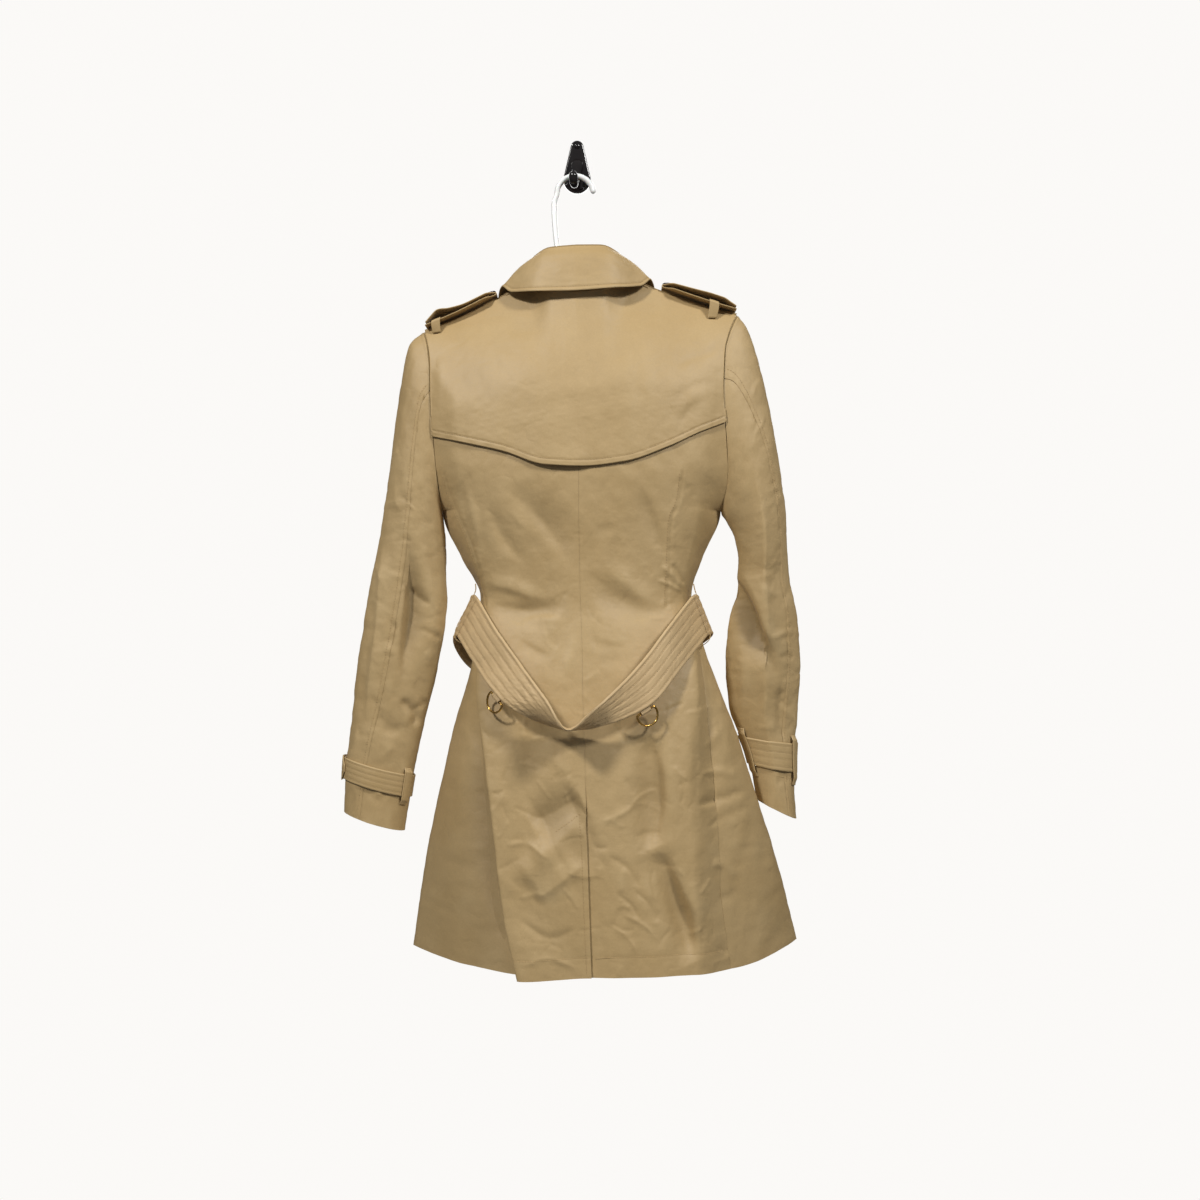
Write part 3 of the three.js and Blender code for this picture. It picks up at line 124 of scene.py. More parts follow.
def read(rows, key, column, place):
    return curve(rows[key], rows[column], place)


def points(x, y, z):
    return np.stack(np.broadcast_arrays(x, y, z), axis=-1).astype(float)


def unit(vectors):
    return vectors / np.maximum(np.linalg.norm(vectors, axis=-1, keepdims=True), 1e-9)


def steps(a, b, count):
    return np.linspace(a, b, count + 1)


def spread(a, b):
    """Both as arrays of one shape."""
    return np.broadcast_arrays(np.asarray(a, float), np.asarray(b, float))


def on_side(surface, side):
    """A surface that takes a side, as one that takes its two places alone."""
    return lambda a, b: surface(side, a, b)


def at_one(surface, u, v):
    """The surface's point at one place."""
    return surface(np.array([float(u)]), np.array([float(v)]))[0]


def hermite(f, start, end, leave, enter):
    f2, f3 = f * f, f * f * f
    return ((2 * f3 - 3 * f2 + 1) * start + (f3 - 2 * f2 + f) * leave
            + (3 * f2 - 2 * f3) * end + (f3 - f2) * enter)


# ---- The cut pieces' outer faces -------------------------------------------------------------

ARMHOLE_X = table("drop left right",
    (0, -193, 205), (0.1, -186, 193), (0.2, -182.5, 186), (0.42, -180, 183),
    (0.64, -177, 187.5), (0.82, -174, 190), (1, -170.5, 184))


def armhole(side, angle):
    drop = (1 - np.cos(angle)) / 2
    return points(
        read(ARMHOLE_X, "drop", side, drop),
        SLEEVE_HEAD_Y - SLEEVE_HEAD_DEPTH * np.sin(angle),
        mix(SHOULDER_TIP_Z[side], ARMPIT_Z, drop))


CENTRE = table("z x y",
    (-190, 1, -101), (-250, 2, -116), (-342, 3, -126), (-400, 4, -128), (-455, 4, -126),
    (-515, 5, -123), (-564, 6, -124), (-617, 8, -132), (-670, 9, -142), (-730, 11, -152),
    (-800, 13, -160), (-900, 16, -167), (-1018, 20, -172))
BACK = {
    "left": table("z quarterY foldX foldY seamX seamY",
        (-190, -96, -150, -88, 0, 0), (-250, -112, -148, -99, 0, 0), (-342, -121, -144, -108, 0, 0),
        (-400, -122, -142, -107, 0, 0), (-455, -118, -140, -96, -170.5, -53),
        (-515, -112, -126, -90, -146, -52), (-564, -111, -114, -86, -121, -54),
        (-617, -121, -121, -98, -124, -66), (-670, -136, -121, -118, -112, -92),
        (-730, -147, -116, -132, -101, -107), (-800, -155, -112, -141, -95, -118),
        (-900, -162, -96, -151, -77, -130), (-1018, -168, -69, -160, -50, -141)),
    "right": table("z quarterY foldX foldY seamX seamY",
        (-190, -96, 160, -88, 0, 0), (-250, -112, 152, -99, 0, 0), (-342, -121, 148, -108, 0, 0),
        (-400, -122, 150, -107, 0, 0), (-455, -118, 151, -96, 184, -53),
        (-515, -113, 140, -90, 160.5, -52), (-564, -112, 134, -86, 145, -54),
        (-617, -122, 144, -100, 153, -70), (-670, -135, 148, -120, 159, -96),
        (-730, -146, 147, -132, 165, -107), (-800, -154, 146, -141, 172, -112),
        (-900, -161, 141, -150, 176, -118), (-1018, -168, 146, -151, 190, -112))}
QUARTER_U = 0.45
FOLD_U = 0.8
NECK_U = 0.32
TOP = table("u y left right",
    (0, -94, -181, -181), (0.16, -88, -177, -176), (NECK_U, -60, -164, -160),
    (0.5, -56, -180.5, -172), (0.8, -53.5, -208.5, -192.5), (1, -53, -227, -206))
HEM = table("x z",
    (-213, -1015), (-120, -1019), (-70, -1022), (20, -1015), (110, -1015), (200, -1021), (286, -1008))
FOLDS = table("x0 z0 x1 z1 width depth",
    (95, -864, 145, -1001, 20, 9), (87, -730, 92, -871, 18, 7), (-71, -907, 12, -824, 16, -5),
    (-45, -700, -60, -980, 22, 5))


def fold_depth(x, z):
    depth = np.zeros_like(x)
    for x0, z0, x1, z1, width, deep in zip(*[FOLDS[k] for k in ("x0", "z0", "x1", "z1", "width", "depth")]):
        dx, dz = x1 - x0, z1 - z0
        near = np.clip(((x - x0) * dx + (z - z0) * dz) / (dx * dx + dz * dz), 0, 1)
        off = np.hypot(x - x0 - near * dx, z - z0 - near * dz) / width
        depth += deep * ease(np.minimum(near, 1 - near) * 4 + 0.25) * np.exp(-off * off)
    return depth


def back_section(z, u, rims=None):
    """x and y of the back at heights z and places u. rims gives each side's seam, where the table doesn't."""
    centre_x, centre_y = read(CENTRE, "z", "x", z), read(CENTRE, "z", "y", z)
    knots_x, knots_y = [], []
    for side in SIGN:
        names = ("quarterY", "foldX", "foldY", "seamX", "seamY")
        column = {name: read(BACK[side], "z", name, z) for name in names}
        seam_x, seam_y = rims[side] if rims else (column["seamX"], column["seamY"])
        x = [mix(centre_x, column["foldX"], QUARTER_U / FOLD_U), column["foldX"], seam_x]
        y = [column["quarterY"], column["foldY"], seam_y]
        knots_x.append(x)
        knots_y.append(y)
    place = np.array([-1, -FOLD_U, -QUARTER_U, 0, QUARTER_U, FOLD_U, 1])
    order = lambda k, centre: np.stack([*k[0][::-1], centre, *k[1]], axis=1)
    return curve(place, order(knots_x, centre_x), u), curve(place, order(knots_y, centre_y), u)


def back(u, v):
    u, v = spread(u, v)
    shape = u.shape
    u, v = u.ravel(), v.ravel()
    reach = np.minimum(np.abs(u), 1)
    side_fade = 1 - ease((reach - 0.72) * 5)
    # Below the armpits.
    level = mix(ARMPIT_Z, HEM_Z, np.maximum(v, 1) - 1)
    x_low, y_low = back_section(level, u)
    z_low = mix(ARMPIT_Z, read(HEM, "x", "z", x_low), v - 1)
    y_low = y_low + side_fade * fold_depth(x_low, z_low)
    # Above them.
    angle = np.pi * np.clip(v, 0, 1)
    top_y = read(TOP, "u", "y", reach)
    top_z = np.where(u < 0, read(TOP, "u", "left", reach), read(TOP, "u", "right", reach))
    rise = mix(np.clip(v, 0, 1), (1 - np.cos(angle)) / 2, reach ** 3)
    z_high = mix(top_z, ARMPIT_Z, rise)
    rims = {}
    for side in ("left", "right"):
        rims[side] = (armhole(side, angle)[:, 0], armhole(side, np.maximum(angle, np.pi / 2))[:, 1])
    x_high, y_high = back_section(z_high, u, rims)
    rounded = np.sin(np.minimum(angle, np.pi / 2))
    y_high = mix(top_y, y_high, rounded) + side_fade * ease(v * 2 - 0.6) * fold_depth(x_high, z_high)
    low = v > 1
    return points(np.where(low, x_low, x_high), np.where(low, y_low, y_high),
                  np.where(low, z_low, z_high)).reshape(*shape, 3)


def skirt_v(z):
    return 1 + (z - ARMPIT_Z) / (HEM_Z - ARMPIT_Z)


def back_right(u, v):
    u, v = spread(u, v)
    opened = ease((v - skirt_v(VENT_TOP_Z)) / 0.03)
    place = back(mix(u, u - VENT_UNDERLAP * (1 - u) ** 6, opened), v)
    above = ease((v - skirt_v(VENT_TOP_Z)) / 0.09 + 1)
    place[..., 1] += VENT_STEP * (above + opened) * (1 - ease(u / 0.24))
    return place


NECK_C = 0.6
MIDDLE_C, TIP_C, CORNER_C = 0.22, 0.34, 0.44
CORNER_IN = 20
FRONT = {
    "left": table("z middleX middleY tipX tipY",
        (-455, -171, -40, -163, -23), (-515, -146.5, -40, -140, -24), (-564, -123, -42, -118, -25),
        (-617, -131, -52, -128, -31), (-670, -133, -68, -139, -42), (-730, -137, -76, -158, -36),
        (-800, -144, -84, -173.5, -30), (-900, -145, -92, -195, -24), (-1018, -142, -97, -212.6, -21)),
    "right": table("z middleX middleY tipX tipY",
        (-455, 184.5, -40, 176, -21), (-515, 161, -40, 154, -21), (-564, 147, -42, 142, -22),
        (-617, 159, -58, 158, -38), (-670, 172, -80, 178, -58), (-730, 190, -86, 201, -58),
        (-800, 206, -88, 223, -57), (-900, 228, -80, 255, -43), (-1018, 250, -64, 286, -18))}
BREAK = table("c x y z",
    (NECK_C, 0, 0, 0), (0.7, 56, -42, -200), (0.8, 40, -27, -242), (0.9, 4, -17.5, -295),
    (1, -FRONT_LAP_X, -13, -345))


def front_top(side, c):
    sign = SIGN[side]
    neck = at_one(back, sign * NECK_U, 0)
    shoulder = back(sign * mix(1, NECK_U, np.minimum(c / NECK_C, 1)), 0 * c)
    under = (FRONT_Y[side] - FRONT_Y["right"]) * ease((c - NECK_C) / 0.2)
    first = {"x": neck[0] * sign, "y": neck[1], "z": neck[2]}
    column = lambda name: curve(BREAK["c"], np.concatenate([[first[name]], BREAK[name][1:]]), c)
    fold = points(column("x") * sign, column("y") + under, column("z"))
    return np.where((c <= NECK_C)[:, None], shoulder, fold)


def front_section(side, z, seam_x, seam_y, c):
    sign = SIGN[side]
    column = {name: read(FRONT[side], "z", name, z) for name in ("middleX", "middleY", "tipX", "tipY")}
    flat = np.full_like(z, FRONT_Y[side])
    knots = np.array([0, MIDDLE_C, TIP_C, CORNER_C, 1])
    x = np.stack([seam_x, column["middleX"], column["tipX"], column["tipX"] - sign * CORNER_IN,
                  np.full_like(z, -sign * FRONT_LAP_X)], axis=1)
    y = np.stack([seam_y, column["middleY"], column["tipY"], flat, flat], axis=1)
    return curve(knots, x, c), curve(knots, y, c), x


def front(side, c, v):
    sign = SIGN[side]
    c, v = spread(c, v)
    shape = c.shape
    c, v = np.clip(c.ravel(), 0, 1), v.ravel()
    # Below the armpits.
    seam = back(np.full_like(c, sign), v)
    level = mix(ARMPIT_Z, HEM_Z, np.maximum(v, 1) - 1)
    x_low, y_low, _ = front_section(side, level, seam[:, 0], seam[:, 1], c)
    hem = mix(read(HEM, "x", "z", x_low), HEM_Z, ease((c - TIP_C) * 5))
    z_low = np.where(c == 0, seam[:, 2], mix(ARMPIT_Z, hem, v - 1))
    # Above them.
    angle = np.pi * np.clip(v, 0, 1)
    top = front_top(side, c)
    rim = armhole(side, -angle)
    z_high = mix(top[:, 2], ARMPIT_Z, mix(np.clip(v, 0, 1), (1 - np.cos(angle)) / 2, (1 - c) ** 3))
    pit = armhole(side, np.full_like(c, np.pi))
    x_pit, y_pit, knots = front_section(side, np.full_like(c, ARMPIT_Z), pit[:, 0], pit[:, 1], c)
    share = np.minimum((x_pit - knots[:, 4]) / (knots[:, 0] - knots[:, 4]), 1 - c / 2.2)
    x_high = mix(top[:, 0], mix(knots[:, 4], rim[:, 0], share), ease(v * 1.6))
    flat, deep = FRONT_Y[side], SLEEVE_HEAD_Y
    rim_y = mix(flat, rim[:, 1], (y_pit - flat) / (deep - flat))
    flat_y = mix(SLEEVE_HEAD_Y + SLEEVE_HEAD_DEPTH, flat, ease(c * 4))
    y_high = np.where(angle < np.pi / 2, mix(top[:, 1], flat_y, np.sin(angle)),
                      mix(flat_y, rim_y, 1 - np.sin(angle)))
    x_high = np.where(c == 0, rim[:, 0], x_high)
    y_high = np.where(c == 0, rim[:, 1], y_high)
    low = v > 1
    return points(np.where(low, x_low, x_high), np.where(low, y_low, y_high),
                  np.where(low, z_low, z_high)).reshape(*shape, 3)


SLEEVE = {
    "left": table("t outerX outerZ innerX innerZ middleY depth pinch",
        (0, -193, -227, -170.5, -455, -53, 38, 0), (0.08, -211, -243, -170.5, -459, -54, 38, 0),
        (0.2, -226, -319, -169, -469, -55, 37, 0), (0.35, -241, -434, -166, -491, -56, 35, 0.2),
        (0.45, -249, -485, -165, -522, -56, 33, 0.3), (0.55, -260, -540, -165, -562, -55, 31, 0.3),
        (0.65, -270, -596, -170.5, -612, -54, 30, 0.3), (0.75, -279, -655, -180, -668, -52, 29, 0.3),
        (0.85, -286, -717, -197, -738, -50, 28, 0.2), (0.93, -293, -772, -209, -795, -49, 27, 0.1),
        (1, -296.5, -838, -219, -862, -48, 27, 0)),
    "right": table("t outerX outerZ innerX innerZ middleY depth pinch",
        (0, 205, -206, 184, -455, -53, 38, 0), (0.08, 217.5, -224, 185, -459, -54, 38, 0),
        (0.2, 240, -300, 191, -469, -54, 37, 0.1), (0.35, 259, -405, 202, -492, -54, 35, 0.4),
        (0.45, 267, -470, 206, -522, -53, 33, 0.6), (0.55, 270, -530, 202, -556, -50, 32, 0.7),
        (0.65, 282, -594, 194.5, -592, -46, 31, 0.7), (0.75, 286.5, -660, 191, -650, -40, 29, 0.7),
        (0.85, 283, -722, 197, -708, -34, 26, 0.6), (0.93, 279, -775, 219, -765, -31, 24, 0.3),
        (1, 283, -850, 233, -826, -30, 24, 0))}
SLEEVE_SEAM = {
    "left": table("t back front", (0, 72, -108), (0.3, 84, -100), (0.7, 82, -95), (1, 68, -95)),
    "right": table("t back front", (0, 72, -108), (0.2, 60, -100), (0.5, 48, -95), (1, 60, -95))}


def sleeve(side, angle, t):
    angle, t = spread(angle, t)
    shape = angle.shape
    angle, t = angle.ravel(), np.clip(t.ravel(), 0, 1)
    depth, pinch = read(SLEEVE[side], "t", "depth", t), read(SLEEVE[side], "t", "pinch", t)

    def plain(fraction):
        column = lambda name: read(SLEEVE[side], "t", name, fraction)
        outward, turned = (1 + np.cos(angle)) / 2, np.sin(angle)
        creased = np.sign(turned) * (1 - np.abs(np.cos(angle)))
        return points(mix(column("innerX"), column("outerX"), outward),
                      column("middleY") - depth * mix(turned, creased, pinch),
                      mix(column("innerZ"), column("outerZ"), outward))

    head = armhole(side, angle) - plain(np.zeros_like(t))
    return (plain(t) + head * (1 - ease(t / 0.3))[:, None]).reshape(*shape, 3)


def sleeve_part(side, part):
    def place(share, t):
        share, t = spread(share, t)
        seam = lambda name: read(SLEEVE_SEAM[side], "t", name, np.clip(t.ravel(), 0, 1)).reshape(t.shape)
        ends = (seam("front"), seam("back")) if part == "upper" else (seam("back"), seam("front") + 360)
        return sleeve(side, np.radians(mix(ends[0], ends[1], share)), t)
    return place


# ---- What lies on the panels -----------------------------------------------------------------

def normals_of(surface, u, v, outward, step=0.004):
    along = surface(u + step, v) - surface(u - step, v)
    down = surface(u, v + step) - surface(u, v - step)
    return unit(np.cross(along, down)) * outward


def lifted(surface, u, v, lift, outward=1):
    lift = np.asarray(lift, float)
    return surface(u, v) + normals_of(surface, u, v, outward) * (lift[..., None] if lift.ndim else lift)


FLAP_EDGE = table("u z",
    (-1, -364), (-0.72, -376), (-0.5, -386), (-0.22, -403), (0, -405), (0.3, -399), (0.6, -380),
    (0.85, -358), (1, -346))
FLAP_TOP_V = 0.02


def level_of(u, z):
    low, high = np.zeros_like(u), np.ones_like(u)
    for _ in range(24):
        middle = (low + high) / 2
        above = back(u, middle)[..., 2] > z
        low, high = np.where(above, middle, low), np.where(above, high, middle)
    return low


COLLAR = table("s innerX innerY innerZ foldX foldY foldZ edgeX edgeY edgeZ",
    (0, 1, -84, -152, 1, -87, -125, 2, -107, -186),
    (0.2, 28, -81, -151, 31, -84, -125.5, 45, -102, -183.5),
    (0.38, 45, -73, -149, 50, -75, -132, 82, -78, -177),
    (0.5, 54, -62, -151, 61, -62, -141, 94, -62, -166),
    (0.65, 58, -51, -166, 67, -49, -156, 100, -40, -176),
    (0.8, 55, -38, -190, 66, -37, -176, 99, -26, -200),
    (1, 48, -26, -218, 59, -25, -206, 92, -17, -232))
COLLAR_FOLD = 4
COLLAR_CURVE = table("w part", (0, 0), (0.2, 1), (1, 2))


def collar(s, w):
    s, w = spread(s, w)
    shape = s.shape
    s, w = s.ravel(), w.ravel()
    sign = np.where(s < 0, -1.0, 1.0)

    def place(name):
        column = lambda axis: read(COLLAR, "s", name + axis, np.abs(s))
        x = sign * column("X")
        return points(x, column("Y"), column("Z") + COLLAR_TILT * x)

    inner, fold, edge = place("inner"), place("fold"), place("edge")
    away = unit((edge - inner) * [1, 1, 0])
    part = read(COLLAR_CURVE, "w", "part", w)[:, None]
    turn = np.clip(part, 0, 1) * np.pi / 2
    rising = mix(inner, fold - away * COLLAR_FOLD * np.cos(turn) ** 3, np.sin(turn))
    fall = np.clip(part - 1, 0, 1)
    out = COLLAR_FOLD * ease(fall * 4) + 5 * np.sin(np.pi * fall)
    falling = mix(fold, edge, fall) + away * out * (1 - fall)
    return np.where(part <= 1, rising, falling).reshape(*shape, 3)


STAND_S = 0.5


def collar_stand(s, w):
    s, w = spread(s, w)
    foot = back(np.sign(s) * np.abs(s) / STAND_S * NECK_U, 0 * s) + [0, 0, 1.8]
    head = collar(s, 0 * s) + [0, 0, -0.8]
    return mix(foot, head, w[..., None])


LAPEL = {"from": 0.64, "to": 0.88, "fall": 0.3}


def lapel(side, share, w):
    share, w = spread(share, w)
    c = mix(LAPEL["from"], LAPEL["to"], share)
    v = 0.012 + LAPEL["fall"] * np.maximum(1 - share, 0) ** 0.8 * w + 0.02 * w
    return lifted(on_side(front, side), c, v, CLOTH + LAY, -SIGN[side])


EPAULETTE = {"neck": 0.55, "tip": 0.985, "half": 20, "drop": 13, "fold": 0.03, "fold_radius": 1.9}
EPAULETTE_LIFT = table("share left right",
    (0, 7.1, 7.1), (0.12, 9, 10), (0.45, 9.5, 12.5), (0.7, 13, 14), (0.85, 17, 13.5), (0.94, 12, 10),
    (1, 7.5, 7.5))


def epaulette(side, k, w):
    k, w = spread(k, w)
    sign = SIGN[side]
    share = np.maximum(np.abs(k) - EPAULETTE["fold"], 0) / (1 - EPAULETTE["fold"])
    ridge = back(sign * mix(EPAULETTE["neck"], EPAULETTE["tip"], share), 0 * k)
    turn = np.clip(k / EPAULETTE["fold"], -1, 1) * np.pi / 2
    high = read(EPAULETTE_LIFT, "share", side, share.ravel()).reshape(k.shape)
    lift = mix(CLOTH + 1.4 * LAY, high, (1 + np.sin(turn)) / 2)
    across = w * EPAULETTE["half"] * (0.45 + 0.55 * ease(share * 6))
    bend = EPAULETTE["drop"] * (np.maximum(across, 0) / EPAULETTE["half"]) ** 1.7
    return points(ridge[..., 0] - sign * EPAULETTE["fold_radius"] * np.cos(turn),
                  SLEEVE_HEAD_Y + across, ridge[..., 2] + lift - bend)


def through(knots, closed=False):
    """Centripetal Catmull-Rom through the knots, as a function of the share of the knots passed."""
    knots = np.asarray(knots, float)
    count = len(knots)

    def at(share):
        share = np.asarray(share, float)
        place = (share % 1) * count if closed else share * (count - 1)
        index = np.floor(place).astype(int)
        if not closed:
            index = np.minimum(index, count - 2)
        f = place - index
        if closed:
            four = [knots[(index + k) % count] for k in (-1, 0, 1, 2)]
        else:
            padded = np.vstack([2 * knots[0] - knots[1], knots, 2 * knots[-1] - knots[-2]])
            four = [padded[index + k] for k in (0, 1, 2, 3)]
        gap = [np.maximum(np.sqrt(np.linalg.norm(four[i + 1] - four[i], axis=-1)), 1e-6)[..., None]
               for i in range(3)]
        rate = lambda a, b, width: (four[b] - four[a]) / width
        leave = (rate(0, 1, gap[0]) - rate(0, 2, gap[0] + gap[1]) + rate(1, 2, gap[1])) * gap[1]
        enter = (rate(1, 2, gap[1]) - rate(1, 3, gap[1] + gap[2]) + rate(2, 3, gap[2])) * gap[1]
        return hermite(f[..., None], four[1], four[2], leave, enter)
    return at


EPAULETTE_LOOP = {"left": (0.82, 0.92), "right": (0.68, 0.79), "behind": 0.13, "before": 0.24}


def epaulette_loop(side, shares, ws):
    """Grid of points: one column for each share, one row for each w."""
    sign = SIGN[side]
    columns = []
    for share in shares:
        k = mix(*EPAULETTE_LOOP[side], share)
        u = mix(EPAULETTE["neck"], EPAULETTE["tip"], k)
        over = lambda w: at_one(on_side(epaulette, side), -k, w) + [0, 0, 2 * CLOTH + 0.6]
        at_back = over(-1) + [0, -CLOTH - LAY, -CLOTH - LAY]
        at_front = over(1) + [0, CLOTH, -CLOTH - LAY]
        low = EPAULETTE_LOOP["behind"]
        behind = lifted(back, np.array([sign * u]), np.array([low]), 2 * (CLOTH + LAY), -1)[0]
        before = lifted(on_side(front, side), np.array([NECK_C * (1 - u) / (1 - NECK_U)]),
                        np.array([EPAULETTE_LOOP["before"]]), CLOTH + LAY, -sign)[0]
        level = at_back.copy()
        level[2] = at_one(back, sign * u, 0)[2]
        across = map(over, (-0.94, -0.4, 0, 0.4, 0.7, 0.97))
        path = through([behind, level, at_back, *across, at_front, before])
        columns.append(path(ws))
    return np.stack(columns, axis=1)


BELT = table("topX topY topZ lowX lowY lowZ",
    (-130, -66, -562, -152, -70, -611), (-94, -134, -608, -130, -112, -637),
    (-65, -163, -645, -102, -151, -671), (-34, -192, -684, -73, -171, -697),
    (-8, -209, -719, -9, -163, -723), (30, -194, -691, 34, -177, -716),
    (78, -165, -645, 91, -165, -691), (115, -136, -599, 127, -137, -652),
    (150, -66, -562, 168, -70, -610), (156, -36, -566, 174, -34, -614),
    (128, -8, -588, 142, -8.4, -637), (10, -8.4, -640, 6, -8.4, -690),
    (-115, -8, -612, -133, -9, -660), (-136, -34, -576, -158, -34, -626))
BELT_TOP, BELT_LOW = (through(np.stack([BELT[edge + axis] for axis in "XYZ"], axis=1), True)
                      for edge in ("top", "low"))


def belt(s, w):
    s, w = spread(s, w)
    return mix(BELT_TOP(s), BELT_LOW(s), w[..., None])


CUFF_STRAP = {"left": (0.925, 0.955), "right": (0.9, 0.945)}
CUFF_LOOPS = {"left": {"inner": (140, 156)}, "right": {"inner": (138, 156), "outer": (16, 34)}}
CUFF_TAIL = {
    "left": {"from": -29, "to": 24, "wide": 1.15, "buckle": -52},
    "right": {"from": -24, "to": 6, "wide": 1.1, "buckle": -54}}


def cuff_strap(side, angle, w):
    low, high = CUFF_STRAP[side]
    return lifted(on_side(sleeve, side), angle, mix(low, high, w), STRAP_THICK + CUFF_LAY, SIGN[side])


def cuff_loop(side, span, share, w):
    low, high = CUFF_STRAP[side]
    room = (high - low) * 0.36
    over = ease(np.minimum(w, 1 - w) * 8)
    angle = np.radians(mix(span[0], span[1], share))
    lift = mix(CLOTH + 0.7, STRAP_THICK + CUFF_LAY + CLOTH + 0.7, over)
    return lifted(on_side(sleeve, side), angle, mix(low - room, high + room, w), lift, SIGN[side])


def cuff_tail(side, share, w):
    low, high = CUFF_STRAP[side]
    tail = CUFF_TAIL[side]
    half = (high - low) / 2 * tail["wide"] * (1 - 0.75 * np.maximum(share - 0.72, 0) / 0.28)
    angle = np.radians(mix(tail["from"], tail["to"], share))
    return lifted(on_side(sleeve, side), angle, (low + high) / 2 + mix(-half, half, w),
                  2 * STRAP_THICK + CUFF_LAY + 0.6, SIGN[side])


# ---- Meshes of cloth -------------------------------------------------------------------------

WAVES_ADDED = 7
WAVE_FADE = 0.6
WAVE_SUM = 2.1 * math.sqrt(WAVES_ADDED) * 0.75


def waves(x, y, scale, seed, octaves=3):
    """Smooth unevenness between about -1 and 1, the same on every run."""
    draw = np.random.default_rng(seed)
    total = np.zeros_like(x, float)
    for octave in range(octaves):
        for _ in range(WAVES_ADDED):
            angle, phase = draw.uniform(0, 2 * math.pi, 2)
            length = scale / 2 ** octave * draw.uniform(0.75, 1.35)
            along = x * math.cos(angle) + y * math.sin(angle)
            total += np.sin(along * 2 * math.pi / length + phase) * WAVE_FADE ** octave
    return total / WAVE_SUM


def across_line(x, z, line):
    """Distance of each point from a smooth line, and the share of the line passed. The distance is
    positive above a line that runs to the right, and to the right of one that runs down."""
    way = through(line)(steps(0, 1, 5 * (len(line) - 1)))
    best, signed, along, passed = np.full(x.shape, 1e9), np.zeros(x.shape), np.zeros(x.shape), 0.0
    for (x0, z0), (x1, z1) in zip(way[:-1], way[1:]):
        dx, dz = x1 - x0, z1 - z0
        length = math.hypot(dx, dz)
        f = np.clip(((x - x0) * dx + (z - z0) * dz) / length ** 2, 0, 1)
        off = np.hypot(x - x0 - f * dx, z - z0 - f * dz)
        near = off < best
        side = np.where((z - z0) * dx - (x - x0) * dz < 0, -1, 1)
        signed = np.where(near, side * off, signed)
        along = np.where(near, passed + f * length, along)
        best = np.minimum(best, off)
        passed += length
    return signed, along / passed


def fold_relief(x, z, folds):
    """Folds and creases along lines. A row is the line, the widths on its two sides, the height and
    how it rounds off, from 1 for a crisp crease to 2 for a soft fold."""
    relief = np.zeros(x.shape)
    for line, before, after, height, roundness in folds:
        corners, margin = np.array(line), 3 * max(before, after)
        low, high = corners.min(axis=0) - margin, corners.max(axis=0) + margin
        near = (x > low[0]) & (x < high[0]) & (z > low[1]) & (z < high[1])
        if not near.any():
            continue
        off, along = across_line(x[near], z[near], line)
        end = 0.22 + 0.26 * (roundness > 1.8)
        fade = ease(along / end) * ease((1 - along) / end)
        width = np.where(off > 0, after, before) * (0.6 + 0.4 * fade)
        relief[near] += height * fade * np.exp(-np.abs(off / width) ** roundness)
    return relief


def crumples(x_range, z_range, count, seed, longest=46, height=0.9):
    """Short creases scattered over a part of the cloth, the same on every run."""
    draw = np.random.default_rng(seed)
    rows = []
    for _ in range(count):
        x, z = draw.uniform(*x_range), draw.uniform(*z_range)
        length = draw.uniform(0.3, 1) * longest
        turn, bend = draw.uniform(0, math.pi), draw.uniform(-0.35, 0.35)
        dx, dz = math.cos(turn) * length / 2, math.sin(turn) * length / 2
        wide, high = draw.uniform(2.4, 5), draw.uniform(0.35, 1) * height * draw.choice((-1, 1))
        line = ((x - dx, z - dz), (x - dz * bend, z + dx * bend), (x + dx, z + dz))
        rows.append((line, wide, wide * 0.6, high, 1.4))
    return tuple(rows)


def normals_of_grid(grid, outward, wrap=False):
    if wrap:
        along = np.roll(grid, -1, axis=1) - np.roll(grid, 1, axis=1)
    else:
        along = np.gradient(grid, axis=1)
    down = np.gradient(grid, axis=0)
    return unit(np.cross(along, down)) * outward


def grain_of(grid):
    """Lengths along the cloth from the grid's middle, in metres, for the weave."""
    across = np.linalg.norm(np.diff(grid, axis=1), axis=-1)
    down = np.linalg.norm(np.diff(grid, axis=0), axis=-1)
    u = np.concatenate([np.zeros((grid.shape[0], 1)), np.cumsum(across, axis=1)], axis=1)
    v = np.concatenate([np.zeros((1, grid.shape[1])), np.cumsum(down, axis=0)], axis=0)
    middle = grid.shape[1] // 2
    return np.stack([u - u[:, middle:middle + 1], -v], axis=-1) / 1000


